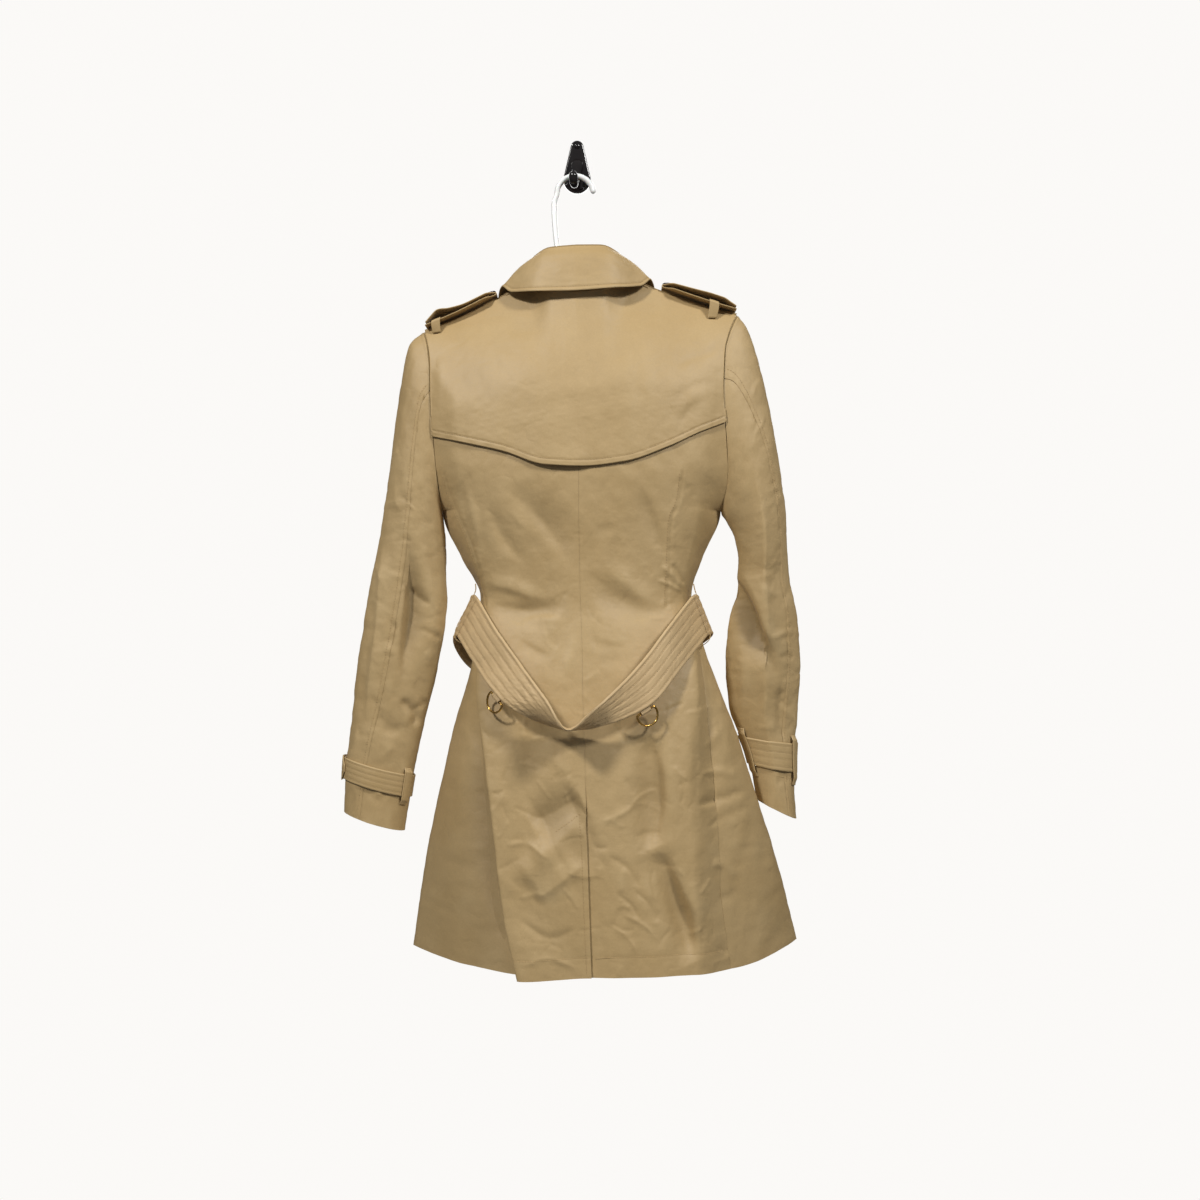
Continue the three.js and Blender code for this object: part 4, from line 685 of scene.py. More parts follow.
def mesh_object(name, vertices, faces, body, material, tone=None, grain=None, ngons=()):
    """A piece of the coat from points in millimetres. A face of four whose last corner comes twice is
    a triangle."""
    mesh = bpy.data.meshes.new(name)
    faces = np.asarray(faces, int)
    corners = np.where(faces[:, 2] == faces[:, 3], 3, 4)
    kept = np.arange(4)[None] < corners[:, None]
    loops = np.concatenate([faces[kept], *(np.array(n, int) for n in ngons)])
    counts = np.concatenate([corners, np.array([len(n) for n in ngons], int)])
    used, loops = np.unique(loops, return_inverse=True)
    vertices = np.asarray(vertices, float).reshape(-1, 3)[used] / 1000
    mesh.vertices.add(len(vertices))
    mesh.vertices.foreach_set("co", vertices.ravel())
    mesh.loops.add(len(loops))
    mesh.loops.foreach_set("vertex_index", loops)
    mesh.polygons.add(len(counts))
    mesh.polygons.foreach_set("loop_start", np.cumsum(counts) - counts)
    mesh.update(calc_edges=True)
    mesh.validate()
    mesh.polygons.foreach_set("use_smooth", np.ones(len(mesh.polygons), bool))
    if grain is not None:
        layer = mesh.uv_layers.new(name="grain")
        corners = np.empty(len(mesh.loops), int)
        mesh.loops.foreach_get("vertex_index", corners)
        layer.data.foreach_set("uv", np.asarray(grain, float).reshape(-1, 2)[used][corners].ravel())
    if tone is not None:
        layer = mesh.attributes.new("tone", "FLOAT", "POINT")
        layer.data.foreach_set("value", np.asarray(tone, float).ravel()[used])
    mesh.materials.append(material)
    piece = bpy.data.objects.new(name, mesh)
    bpy.context.scene.collection.objects.link(piece)
    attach(piece, body)
    return piece


def close_up(piece, weld=False, seams=False):
    """Turns the faces outward, welds points that fall together and keeps the edges at seams crisp."""
    shape = bmesh.new()
    shape.from_mesh(piece.data)
    if weld:
        bmesh.ops.remove_doubles(shape, verts=shape.verts, dist=1e-6)
    bmesh.ops.recalc_face_normals(shape, faces=shape.faces)
    if seams:
        for edge in shape.edges:
            edge.smooth = edge.calc_face_angle(0) < SEAM_ANGLE
    shape.to_mesh(piece.data)
    shape.free()


def quads(count_rows, count_columns, first=0, wrap=False):
    spans = count_columns if wrap else count_columns - 1
    r, c = np.meshgrid(np.arange(count_rows - 1), np.arange(spans), indexing="ij")
    after = (c + 1) % count_columns
    at = lambda row, column: first + row * count_columns + column
    return np.stack([at(r, c), at(r + 1, c), at(r + 1, after), at(r, after)], axis=-1).reshape(-1, 4)


def border_of(rows, columns, wrap):
    """The vertices of a grid's border, in order, one loop or two."""
    if wrap:
        return [np.arange(columns), (rows - 1) * columns + np.arange(columns)[::-1]]
    top, bottom = np.arange(columns), (rows - 1) * columns + np.arange(columns)
    left, right = np.arange(rows) * columns, np.arange(rows) * columns + columns - 1
    return [np.concatenate([top[:-1], right[:-1], bottom[:0:-1], left[:0:-1]])]


INSIDE_STEP = 3


def coarse_inside(rows, columns, first):
    """Faces over every third row and column of a grid, as quads, and as polygons along its border,
    where they keep each of its points."""
    r, c = np.arange(0, rows - 1, INSIDE_STEP), np.arange(0, columns - 1, INSIDE_STEP)
    at = lambda row, column: first + row * columns + column
    inner_r, inner_c = np.meshgrid(r[1:-1], c[1:-1], indexing="ij")
    s = INSIDE_STEP
    plain = np.stack([at(inner_r, inner_c), at(inner_r, inner_c + s), at(inner_r + s, inner_c + s),
                      at(inner_r + s, inner_c)], axis=-1).reshape(-1, 4)
    rim = []
    for row in r:
        for column in c if row in (r[0], r[-1]) else (c[0], c[-1]):
            top = range(column, column + s) if row == r[0] else (column,)
            right = range(row, row + s) if column == c[-1] else (row,)
            bottom = range(column + s, column, -1) if row == r[-1] else (column + s,)
            left = range(row + s, row, -1) if column == c[0] else (row + s,)
            rim.append([at(row, k) for k in top] + [at(k, column + s) for k in right]
                       + [at(row + s, k) for k in bottom] + [at(k, column) for k in left])
    return plain, rim


def cloth_shell(grid, normals, thick, wrap=False, round_edge=0.4, tone=None):
    """The closed wall of a grid: its outer face, its inner face and rounded rims. round_edge is the
    share of the thickness by which the rims bulge, and is small at seams."""
    rows, columns = grid.shape[:2]
    outer = grid.reshape(-1, 3)
    inner = (grid - normals * thick).reshape(-1, 3)
    grain = grain_of(grid).reshape(-1, 2)
    tone = np.ones(len(outer)) if tone is None else np.asarray(tone, float).ravel()
    count = rows * columns
    coarse = not wrap and count > 3000 and (rows - 1) % INSIDE_STEP == 0 and (columns - 1) % INSIDE_STEP == 0
    inside, ngons = (coarse_inside(rows, columns, count) if coarse
                     else (quads(rows, columns, count, wrap)[:, ::-1], []))
    faces = [quads(rows, columns, wrap=wrap), inside]
    vertices, grains, tones = [outer, inner], [grain, grain], [tone, tone * 0.9]
    first = 2 * count
    for loop in border_of(rows, columns, wrap):
        ahead, behind = outer[np.roll(loop, -1)], outer[np.roll(loop, 1)]
        side = unit(np.cross(ahead - behind, normals.reshape(-1, 3)[loop]))
        r, c = loop // columns, loop % columns
        inside_r = np.where(r == 0, 1, np.where(r == rows - 1, rows - 2, r))
        inside_c = c if wrap else np.where(c == 0, 1, np.where(c == columns - 1, columns - 2, c))
        away = outer[loop] - grid[inside_r, inside_c]
        side = side * np.sign(np.einsum("ij,ij->i", side, away))[:, None]
        vertices.append((outer[loop] + inner[loop]) / 2 + side * round_edge * thick)
        grains.append(grain[loop])
        tones.append(tone[loop])
        place = first + np.arange(len(loop))
        next_place, next_loop = np.roll(place, -1), np.roll(loop, -1)
        faces.append(np.stack([loop, next_loop, next_place, place], axis=-1))
        faces.append(np.stack([place, next_place, next_loop + count, loop + count], axis=-1))
        first += len(loop)
    return (*map(np.concatenate, (vertices, faces, grains, tones)), ngons)


# ---- Materials -------------------------------------------------------------------------------

def shade(red, green, blue):
    """A display colour from 0 to 255 as a linear one."""
    channels = [c / 255 for c in (red, green, blue)]
    return [c / 12.92 if c <= 0.04045 else ((c + 0.055) / 1.055) ** 2.4 for c in channels] + [1.0]


def node(tree, kind, inputs=None, **settings):
    made = tree.nodes.new("ShaderNode" + kind)
    for key, value in settings.items():
        setattr(made, key, value)
    for key, value in (inputs or {}).items():
        if isinstance(value, bpy.types.NodeSocket):
            tree.links.new(value, made.inputs[key])
        else:
            made.inputs[key].default_value = value
    return made


def new_material(name, **constants):
    material = bpy.data.materials.new(name)
    material.use_nodes = True
    surface = material.node_tree.nodes["Principled BSDF"]
    for key, value in constants.items():
        surface.inputs[key.replace("_", " ")].default_value = value
    return material, material.node_tree, surface


def noise(tree, place, scale, detail=4.0, roughness=0.5, stretch=None):
    if stretch:
        place = node(tree, "Mapping", {"Vector": place, "Scale": stretch}).outputs[0]
    return node(tree, "TexNoise", {
        "Vector": place, "Scale": scale, "Detail": detail, "Roughness": roughness}).outputs["Fac"]


def span(tree, value, low, high):
    return node(tree, "MapRange", {"Value": value, "To Min": low, "To Max": high,
                                   "From Min": 0.25, "From Max": 0.75}).outputs[0]


def sums(tree, operation, *inputs):
    return node(tree, "Math", dict(enumerate(inputs)), operation=operation).outputs[0]


def times(tree, a, b):
    return sums(tree, "MULTIPLY", a, b)


def plus(tree, a, b):
    return sums(tree, "ADD", a, b)


def between(tree, factor, a, b):
    return node(tree, "Mix", {"Factor": factor, "A": a, "B": b}, data_type="RGBA").outputs[2]


def bump(tree, height, strength, distance, under=None):
    inputs = {"Height": height, "Strength": strength, "Distance": distance}
    return node(tree, "Bump", {**inputs, "Normal": under} if under else inputs).outputs[0]


def cloth_material(name, light, dark, worn_and_lit, roughness=0.62, twill=0.0011):
    """Fine twill: diagonal wales, slubs along the weft, blotchy dye and small crumples. The tone
    attribute darkens seams, lightens rubbed edges, and paints shade into fold hollows and light onto raised
    folds."""
    material, tree, surface = new_material(
        name, Sheen_Weight=0.06, Sheen_Roughness=0.4, Specular_IOR_Level=0.5)
    grain = node(tree, "UVMap", uv_map="grain").outputs[0]
    place = node(tree, "TexCoord").outputs["Object"]
    tone = node(tree, "Attribute", attribute_name="tone").outputs["Fac"]
    wales = node(tree, "TexWave", {
        "Vector": grain, "Scale": 0.444 / twill, "Distortion": 0.6, "Detail": 1.0, "Detail Scale": 2.0},
        bands_direction="DIAGONAL").outputs["Fac"]
    yarn = noise(tree, grain, 1.0, 2.0, 0.6, (260.0, 1500.0, 1.0))
    warp = noise(tree, grain, 1.0, 2.0, 0.6, (1500.0, 200.0, 1.0))
    blotch = noise(tree, place, 7.0, 5.0, 0.6)
    fleck = noise(tree, place, 420.0, 3.0, 0.6)
    crumple = noise(tree, place, 38.0, 5.0, 0.55)
    # Tone above 1 moves the colour towards the pale worn_and_lit colour: edges rubbed by use, and the painted
    # light on raised folds.
    wear_and_light = node(tree, "MapRange", {"Value": tone, "From Min": 1.0, "From Max": 1.3}).outputs[0]
    rubbed_and_lit = between(tree, wear_and_light, between(tree, span(tree, blotch, 0.0, 1.0), dark, light), worn_and_lit)
    ribbed = node(tree, "MapRange", {"Value": wales, "To Min": 0.965, "To Max": 1.02}).outputs[0]
    # The tone up to 1 darkens the seams and puts the painted shade into the hollows of the folds.
    strength = times(tree, times(tree, span(tree, fleck, 0.965, 1.035), span(tree, yarn, 0.965, 1.035)),
                     times(tree, sums(tree, "MINIMUM", tone, 1.0), ribbed))
    coloured = node(tree, "VectorMath", {0: rubbed_and_lit, "Scale": strength}, operation="SCALE")
    tree.links.new(coloured.outputs[0], surface.inputs["Base Color"])
    tree.links.new(span(tree, plus(tree, times(tree, fleck, 0.5), times(tree, blotch, 0.5)),
                        roughness - 0.06, roughness + 0.06), surface.inputs["Roughness"])
    creases = sums(tree, "ABSOLUTE", sums(tree, "SUBTRACT", noise(tree, place, 21.0, 3.0, 0.5), 0.5))
    creased = node(tree, "MapRange", {"Value": creases, "From Max": 0.1}).outputs[0]
    weave = plus(tree, wales, plus(tree, times(tree, yarn, 0.7), times(tree, warp, 0.5)))
    folded = bump(tree, crumple, 0.4, 0.0018, bump(tree, creased, 0.25, 0.0009))
    tree.links.new(bump(tree, weave, 0.35, 0.00012, folded), surface.inputs["Normal"])
    return material


def thread_material(name, colour):
    material, tree, surface = new_material(name, Specular_IOR_Level=0.4, Roughness=0.55)
    place = node(tree, "TexCoord").outputs["Object"]
    twist = node(tree, "TexWave", {"Vector": place, "Scale": 900.0, "Distortion": 1.0},
                 bands_direction="DIAGONAL").outputs["Fac"]
    pale = [min(c * 1.25, 1) for c in colour[:3]] + [1.0]
    mixed = between(tree, span(tree, noise(tree, place, 60.0), 0.0, 1.0), colour, pale)
    tree.links.new(mixed, surface.inputs["Base Color"])
    tree.links.new(bump(tree, twist, 0.5, 0.0001), surface.inputs["Normal"])
    return material


def hard_material(name, light, dark, roughness, scale, grain_height, grain_scale, stretch=None, **constants):
    """Moulded, cast or polished: two colours in patches, small scratches in the gloss and a grain."""
    material, tree, surface = new_material(name, **constants)
    place = node(tree, "TexCoord").outputs["Object"]
    patch = noise(tree, place, scale, 5.0, 0.6, stretch)
    tree.links.new(between(tree, span(tree, patch, 0.0, 1.0), dark, light), surface.inputs["Base Color"])
    scratch = noise(tree, place, grain_scale * 0.6, 6.0, 0.7, (1.0, 1.0, 6.0))
    tree.links.new(span(tree, scratch, roughness * 0.75, roughness * 1.3), surface.inputs["Roughness"])
    grained = bump(tree, noise(tree, place, grain_scale, 4.0, 0.6), 0.4, grain_height)
    tree.links.new(grained, surface.inputs["Normal"])
    return material


# For both cloths the third colour is the pale colour of rubbed edges, which also gives the painted light on
# raised folds.
COAT_CLOTH = cloth_material("coat_cloth", shade(185, 159, 114), shade(172, 145, 99),
                            shade(205, 182, 138), 0.54)
BELT_CLOTH = cloth_material("belt_cloth", shade(198, 171, 128), shade(187, 159, 115), shade(214, 191, 150), 0.62,
                            0.0013)
THREAD = thread_material("sewing_thread", shade(172, 146, 104))
BELT_THREAD = thread_material("belt_thread", shade(186, 160, 120))
BRASS = hard_material("brass", shade(214, 178, 106), shade(178, 138, 66), 0.24, 90.0, 0.00005, 700.0,
                      Metallic=1.0)
HORN = hard_material("horn", shade(78, 54, 36), shade(34, 22, 15), 0.28, 130.0, 0.00006, 600.0,
                     (1.0, 1.0, 0.25), Coat_Weight=0.3, Coat_Roughness=0.12)
LEATHER = hard_material("leather", shade(58, 44, 36), shade(34, 26, 21), 0.42, 60.0, 0.0003, 1100.0,
                        Coat_Weight=0.15, Coat_Roughness=0.25)
WHITE_PLASTIC = hard_material("white_plastic", shade(246, 246, 244), shade(236, 237, 236), 0.2, 25.0, 0.00004,
                              900.0, Coat_Weight=0.5, Coat_Roughness=0.08, Subsurface_Weight=0.05)
BLACK_METAL = hard_material("black_metal", shade(26, 20, 19), shade(14, 10, 10), 0.16, 40.0, 0.00012, 500.0,
                            Coat_Weight=0.6, Coat_Roughness=0.06, Specular_IOR_Level=0.5)
DARK_THREAD = thread_material("dark_thread", shade(64, 48, 36))


# ---- Making pieces of cloth ------------------------------------------------------------------

SEAM_ANGLE = math.radians(64)
PAINTED_FOLD_SHADE = 0.021       # painted shade: how much a hollow of the folds darkens the colour for each millimetre of its depth, with painted light on raised folds
# The most painted shade and the most painted light that the folds' height adds to the tone.
PAINTED_FOLD_SHADE_RANGE = (-0.27, 0.035)


def finished(name, vertices, faces, grain, tone, ngons, material=None, slot="coat_cotton"):
    """A closed piece of cloth that replaces the node of its name."""
    piece = mesh_object(f"{name}_cloth", vertices, faces, COAT, material or COAT_CLOTH, tone, grain, ngons)
    close_up(piece, seams=True)
    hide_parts(name)


def cloth(name, surface, us, vs, outward, relief=None, tone=None, thick=CLOTH, wrap=False,
          round_edge=0.4, material=None, slot="coat_cotton"):
    """A piece over the places us across and vs down. relief and tone take u, v and the points."""
    u, v = np.meshgrid(us, vs)
    base = surface(u, v)
    normals = normals_of(surface, u, v, outward)
    height = np.zeros(u.shape) if relief is None else relief(u, v, base)
    grid = base + normals * height[..., None]
    tones = np.ones(u.shape) if tone is None else tone(u, v, base)
    # Painted shade in the hollows of the folds and painted light on raised folds, from the relief's height.
    tones = tones + np.clip(height * PAINTED_FOLD_SHADE, *PAINTED_FOLD_SHADE_RANGE)
    finished(name, *cloth_shell(grid, normals, thick, wrap, round_edge, tones), material, slot)


STITCH_SIDES = 4
# Along a stitch: the share of its length, its thickness and how far it stands up, as shares of its radius.
STITCH_PROFILE = ((0.0, 0.35, -0.9), (0.2, 0.9, 0.1), (0.5, 1.0, 0.45), (0.8, 0.9, 0.1), (1.0, 0.35, -0.9))


class Stitches:
    """Rows of stitches, gathered into one mesh."""

    def __init__(self, name, material, slot):
        self.name, self.material, self.slot = name, material, slot
        self.vertices, self.faces, self.count = [], [], 0

    def row(self, at, count, pitch=3.4, radius=0.32, gap=0.24, lift=0.12):
        """at(f) gives points and outward normals for shares f of the row."""
        fine = np.linspace(0, 1, count)
        points, normals = at(fine)
        length = np.concatenate([[0], np.cumsum(np.linalg.norm(np.diff(points, axis=0), axis=1))])
        number = max(int(length[-1] / pitch), 1)
        starts = (np.arange(number) + gap / 2) * length[-1] / number
        ends = starts + (1 - gap) * length[-1] / number
        spot = lambda s, values: np.stack([np.interp(s, length, values[:, k]) for k in range(3)], axis=-1)
        rings = []
        for share, size, rise in STITCH_PROFILE:
            s = mix(starts, ends, share)
            p, n = spot(s, points), unit(spot(s, normals))
            t = unit(spot(ends, points) - spot(starts, points))
            side = unit(np.cross(t, n))
            turn = np.linspace(0, 2 * math.pi, STITCH_SIDES, endpoint=False)
            centre = p + n * (lift + rise * radius)
            rings.append(centre[:, None] + radius * size * (np.cos(turn)[None, :, None] * side[:, None]
                                                            + np.sin(turn)[None, :, None] * n[:, None]))
        block = np.stack(rings, axis=1)
        per = block.shape[1] * STITCH_SIDES
        local = quads(block.shape[1], STITCH_SIDES, wrap=True)
        caps = [[first, first + 1, first + 2, first + 3] for first in (0, per - STITCH_SIDES)]
        local = np.concatenate([local, caps])
        for _ in range(number):
            self.faces.append(local + self.count)
            self.count += per
        self.vertices.append(block.reshape(-1, 3))

    def make(self):
        vertices, faces = map(np.concatenate, (self.vertices, self.faces))
        piece = mesh_object(self.name, vertices, faces, COAT, self.material)
        close_up(piece)


def on(surface, outward, relief, line, lift=0.0):
    """A row on a surface: line(f) gives u and v."""
    def at(f):
        u, v = line(f)
        u, v = spread(u, v)
        base = surface(u, v)
        normals = normals_of(surface, u, v, outward)
        height = relief(u, v, base) if relief else np.zeros(u.shape)
        return base + normals * (height + lift)[..., None], normals
    return at


def ridge(distance, height, width):
    """A rounded ridge where distance is 0, or a groove where height is below 0."""
    return height * np.exp(-(distance / width) ** 2)


def groove(distance, depth, width):
    return ridge(distance, -depth, width)


def grooves(rows, w, width, depth, wide):
    """One groove along each row of stitches of a strap. rows and w are shares of the strap's width."""
    return sum(groove((w - row) * width, depth, wide) for row in rows)


# ---- The back --------------------------------------------------------------------------------

LEFT_PRINCESS = [(-163, -412), (-158, -432), (-147, -459), (-130, -496), (-118, -540), (-112, -575)]
RIGHT_PRINCESS = [(131.5, -412), (131, -421), (126.6, -448), (119, -465), (115.6, -519), (113, -575)]
BACK_FOLDS = (
    (((-91, -424), (-64, -448), (-40, -470), (-23, -493), (-12, -514), (-5, -536)), 11, 24, -5, 2),
    (((-113, -431), (-100, -468), (-79, -504), (-52, -530)), 8, 14, -3, 2),
    (((-143, -404), (-131, -444), (-122, -485), (-117, -529)), 6, 6, 1.6, 2),
    (((-120, -562), (-105, -550), (-81, -552), (-54, -562), (-30, -566)), 7, 14, 3.2, 2),
    (((-110, -574), (-88, -578), (-60, -581), (-30, -577), (-4, -570)), 15, 9, -5, 2),
    (((9, -527), (31, -549), (55, -569), (82, -582), (111, -587)), 17, 12, -5, 2),
    (((28, -515), (55, -543), (82, -563), (109, -571), (129, -566)), 8, 14, 2, 2),
    (((105, -525), (117, -536), (133, -553)), 4, 4, 1.4, 1.7),
    (((99, -543), (116, -549), (132, -558)), 3, 3, 1.3, 1.5),
    (((117, -522), (128, -536), (136, -551)), 3, 3, -1.2, 1.5),
    (((73, -421), (89, -458), (101, -492), (109, -522)), 10, 7, -3, 2),
    (((17, -475), (34, -483), (53, -475)), 8, 8, -1.2, 2),
    (((1, -610), (-6, -637), (-15, -668)), 8, 8, 1.5, 2),
    (((20, -652), (46, -640), (76, -646)), 10, 9, -1.3, 2),
    (((-71, -595), (-37, -590), (-4, -598)), 6, 6, 1.4, 2),
    (((14, -607), (31, -621), (68, -626)), 8, 5, -1.2, 2),
    (((-77, -610), (-47, -631), (-20, -637)), 8, 5, -1.2, 2),
    (((-84, -451), (-71, -470), (-54, -485)), 5, 5, 0.8, 2),
    (((-119, -697), (-114, -761), (-108, -820), (-100, -888), (-90, -948), (-79, -1012)), 18, 4, -11, 2),
    (((-110, -888), (-97, -939), (-80, -995)), 4, 4, -2.4, 1.6),
    (((-55, -836), (-24, -819), (9, -802)), 45, 18, -9, 1.3),
    (((-50, -927), (-17, -903), (13, -879)), 8, 30, 4.5, 1.4),
    (((85, -727), (97, -769), (99, -816), (91, -858), (81, -888)), 20, 9, -7, 2),
    (((108, -714), (110, -782), (104, -846)), 8, 14, 2.5, 2),
    (((150, -680), (150, -803), (145, -880)), 9, 22, -4, 2),
    (((96, -863), (114, -905), (131, -954), (145, -1007)), 12, 8, -8, 2),
    (((108, -858), (127, -901), (147, -948), (157, -995)), 8, 14, 3, 2),
    (((147, -817), (179, -813), (215, -806)), 3, 7, -2.5, 1.4),
    (((151, -781), (174, -778), (202, -787)), 4, 4, 1.5, 1.6),
    (((153, -752), (174, -735), (189, -716)), 5, 5, 1.4, 2),
    (((157, -846), (187, -833), (221, -824)), 4, 4, -1.2, 1.6),
    (((162, -888), (187, -897), (200, -914)), 4, 5, 1.4, 1.6),
    (((176, -927), (189, -933), (199, -922)), 4, 4, -1.4, 1.6),
    (((-158, -795), (-153, -803), (-157, -812)), 3, 3, -1.6, 1.6),
    (((-183, -888), (-145, -897), (-111, -893)), 8, 6, -1.0, 2),
    (((-145, -718), (-128, -752), (-119, -786)), 6, 6, 1.0, 2),
    (((47, -914), (68, -931), (77, -948)), 3, 3, -1.2, 1.5),
    (((55, -939), (85, -956), (98, -973)), 3, 3, 1.2, 1.5),
    (((68, -910), (89, -931), (102, -956)), 3, 4, -1.3, 1.5),
    (((42, -952), (64, -969), (76, -990)), 3, 3, 1.1, 1.5),
    (((30, -833), (51, -825), (72, -813)), 4, 4, 1.4, 1.6),
    (((38, -871), (64, -888), (79, -914)), 4, 4, -1.2, 1.6),
    (((-85, -863), (-60, -858), (-30, -876)), 4, 4, 1.2, 1.6),
    (((-68, -948), (-30, -969), (4, -956)), 5, 5, -1.5, 1.6),
    (((-62, -1003), (-30, -993), (4, -1004)), 4, 4, 1.2, 1.6),)
BACK_CRUMPLES = (crumples((-215, 285), (-1010, -680), 150, 3)
                 + crumples((-120, 150), (-720, -560), 22, 4, 34, 0.6)
                 + crumples((-150, 150), (-560, -420), 14, 5, 30, 0.45))


BACK_HEM = 24


def back_seam_distance(x, z):
    return np.abs(x - read(CENTRE, "z", "x", z.ravel()).reshape(z.shape))


def back_relief(side):
    princess = LEFT_PRINCESS if side == "left" else RIGHT_PRINCESS

    def relief(u, v, p):
        x, z = p[..., 0], p[..., 2]
        middle = back_seam_distance(x, z)
        rim = (1 - np.abs(u)) * 60
        edge = np.minimum(middle, rim)
        height = groove(middle, 0.14, 1.4) * (z > VENT_TOP_Z - 8) + groove(rim, 0.3, 1.6)
        off = np.abs(across_line(x, z, princess)[0])
        height += groove(off, 0.5, 1.4) + ridge(off - 4, 0.2, 2.4)
        height += 0.25 * np.exp(-off / 12) * waves(x, z, 13, 5 if side == "left" else 6, 2)
        height += fold_relief(x, z, BACK_FOLDS) + fold_relief(x, z, BACK_CRUMPLES)
        calm = ease((v - 0.35) * 3)
        height += calm * (0.5 * waves(x, z * 0.45, 70, 11) + 0.14 * waves(x, z, 26, 12))
        height += groove(z - read(HEM, "x", "z", x.ravel()).reshape(z.shape) - BACK_HEM, 0.3, 1.5)
        return np.clip(height, -15, 6)
    return relief


def back_tone(u, v, p):
    x, z = p[..., 0], p[..., 2]
    middle = back_seam_distance(x, z)
    tone = 1 + groove(middle, 0.035, 1.2) * (z > VENT_TOP_Z)
    for line in (LEFT_PRINCESS, RIGHT_PRINCESS):
        tone += groove(across_line(x, z, line)[0], 0.05, 1.4)
    return tone + 0.02 * waves(x, z, 60, 21)


def drawn_in(count, low, high, gap):
    """Places from low to high whose ends stop short of the seams."""
    places = steps(low, high, count)
    places[0] += gap
    places[-1] -= gap
    return places


def make_backs():
    rows = np.concatenate([steps(0, 0.5, 15), steps(0.5, 1, 54)[1:], steps(1, 2, 351)[1:]])
    cloth("back_left", back, drawn_in(120, -1, 0, 0.0005), rows, -1, back_relief("left"), back_tone,
          round_edge=0.1)
    cloth("back_right", back_right, drawn_in(120, 0, 1, 0.0005), rows, -1, back_relief("right"), back_tone,
          round_edge=0.1)


# ---- The fronts ------------------------------------------------------------------------------

FRONT_WIDTH = 150         # of the part of a front near its edge, for each share of c
FRONT_STITCH = 8


def front_relief(side):
    def relief(c, v, p):
        x, z = p[..., 0], p[..., 2]
        edge = (1 - c) * FRONT_WIDTH
        height = groove(c * 90, 0.6, 2.0) + groove(edge - FRONT_STITCH, 0.3, 1.5) * (v > 0.4)
        height += 0.5 * waves(p[..., 1] + 0.4 * x, z * 0.5, 60, 31 if side == "left" else 32)
        height += 0.2 * waves(x, z, 24, 33)
        turned_back = ease((0.34 - c) / 0.1) * ease((v - 1.1) * 8)
        height += turned_back * (fold_relief(x, z, BACK_FOLDS) + fold_relief(x, z, BACK_CRUMPLES))
        return np.clip(height * ease(v * 6), -12, 5)
    return relief


def front_tone(c, v, p):
    return 1 + 0.02 * waves(p[..., 0], p[..., 2], 60, 35) + groove((1 - c) * FRONT_WIDTH, 0.07, 2)


def make_fronts():
    rows = np.concatenate([steps(0, 1, 60), steps(1, 2, 141)[1:]])
    for side in ("left", "right"):
        cloth(f"front_{side}", on_side(front, side), drawn_in(54, 0, 1, 0.0005), rows, -SIGN[side],
              front_relief(side), front_tone, round_edge=0.15)


# ---- The sleeves -----------------------------------------------------------------------------

SLEEVE_FOLDS = {
    "left": (
    (((-244, -493), (-247, -554), (-251, -604), (-257, -651), (-266, -725)), 4, 14, 3.2, 1.3),
    (((-209, -473), (-209, -513), (-207, -550), (-205, -577), (-209, -608), (-213, -638), (-217, -685)),
     8, 15, -15, 2),
    (((-206, -552), (-194, -565), (-182, -576)), 5, 4, -3, 1.5),
    (((-193, -493), (-191, -534), (-179, -577), (-182, -628), (-196, -668)), 10, 14, 4, 2),
    (((-220, -690), (-211, -703), (-202, -714), (-206, -729)), 5, 5, -4, 1.5),
    (((-206, -709), (-196, -701), (-186, -695)), 4, 4, -2, 1.5),
    (((-248, -709), (-233, -729), (-211, -725)), 10, 8, -3, 2),
    (((-196, -604), (-182, -611), (-171, -618)), 4, 4, -1.5, 1.6),
    (((-260, -682), (-250, -702), (-246, -729)), 5, 5, -1.2, 1.6),
    (((-270, -806), (-256, -813), (-240, -825)), 4, 4, -1.5, 1.6),
    (((-256, -818), (-240, -806), (-218, -803)), 4, 4, 1.5, 1.6),
    (((-226, -594), (-230, -611), (-235, -628)), 5, 5, -1.2, 1.6),),
    "right": (
    (((192, -524), (216, -573), (230, -613), (246, -644), (258, -677)), 20, 5, -14, 2),
    (((200, -517), (226, -564), (239, -605), (256, -635), (267, -671)), 5, 14, 4.5, 2),
    (((208, -608), (212, -669), (209, -730)), 6, 10, 2.5, 2),
    (((261, -674), (260, -710), (267, -750)), 6, 4, -4, 1.5),
    (((244, -618), (261, -610), (278, -606)), 4, 4, 1.2, 1.6),
    (((254, -642), (266, -639), (278, -643)), 4, 4, -1.2, 1.6),
    (((259, -696), (271, -703), (280, -699)), 4, 4, -1.5, 1.6),
    (((156, -473), (176, -493), (193, -520)), 6, 6, -2, 2),
    (((220, -537), (240, -557), (267, -564)), 6, 6, 1.2, 2),
    (((254, -804), (261, -798), (273, -799)), 4, 4, -1.5, 1.6),)}
SLEEVE_CRUMPLES = {
    "left": crumples((-300, -170), (-860, -300), 60, 13, 40, 0.8),
    "right": crumples((180, 300), (-860, -300), 60, 14, 40, 0.8)}


SLEEVE_LENGTH = 560
SLEEVE_PART_WIDTH = 110
SLEEVE_HEM = 26


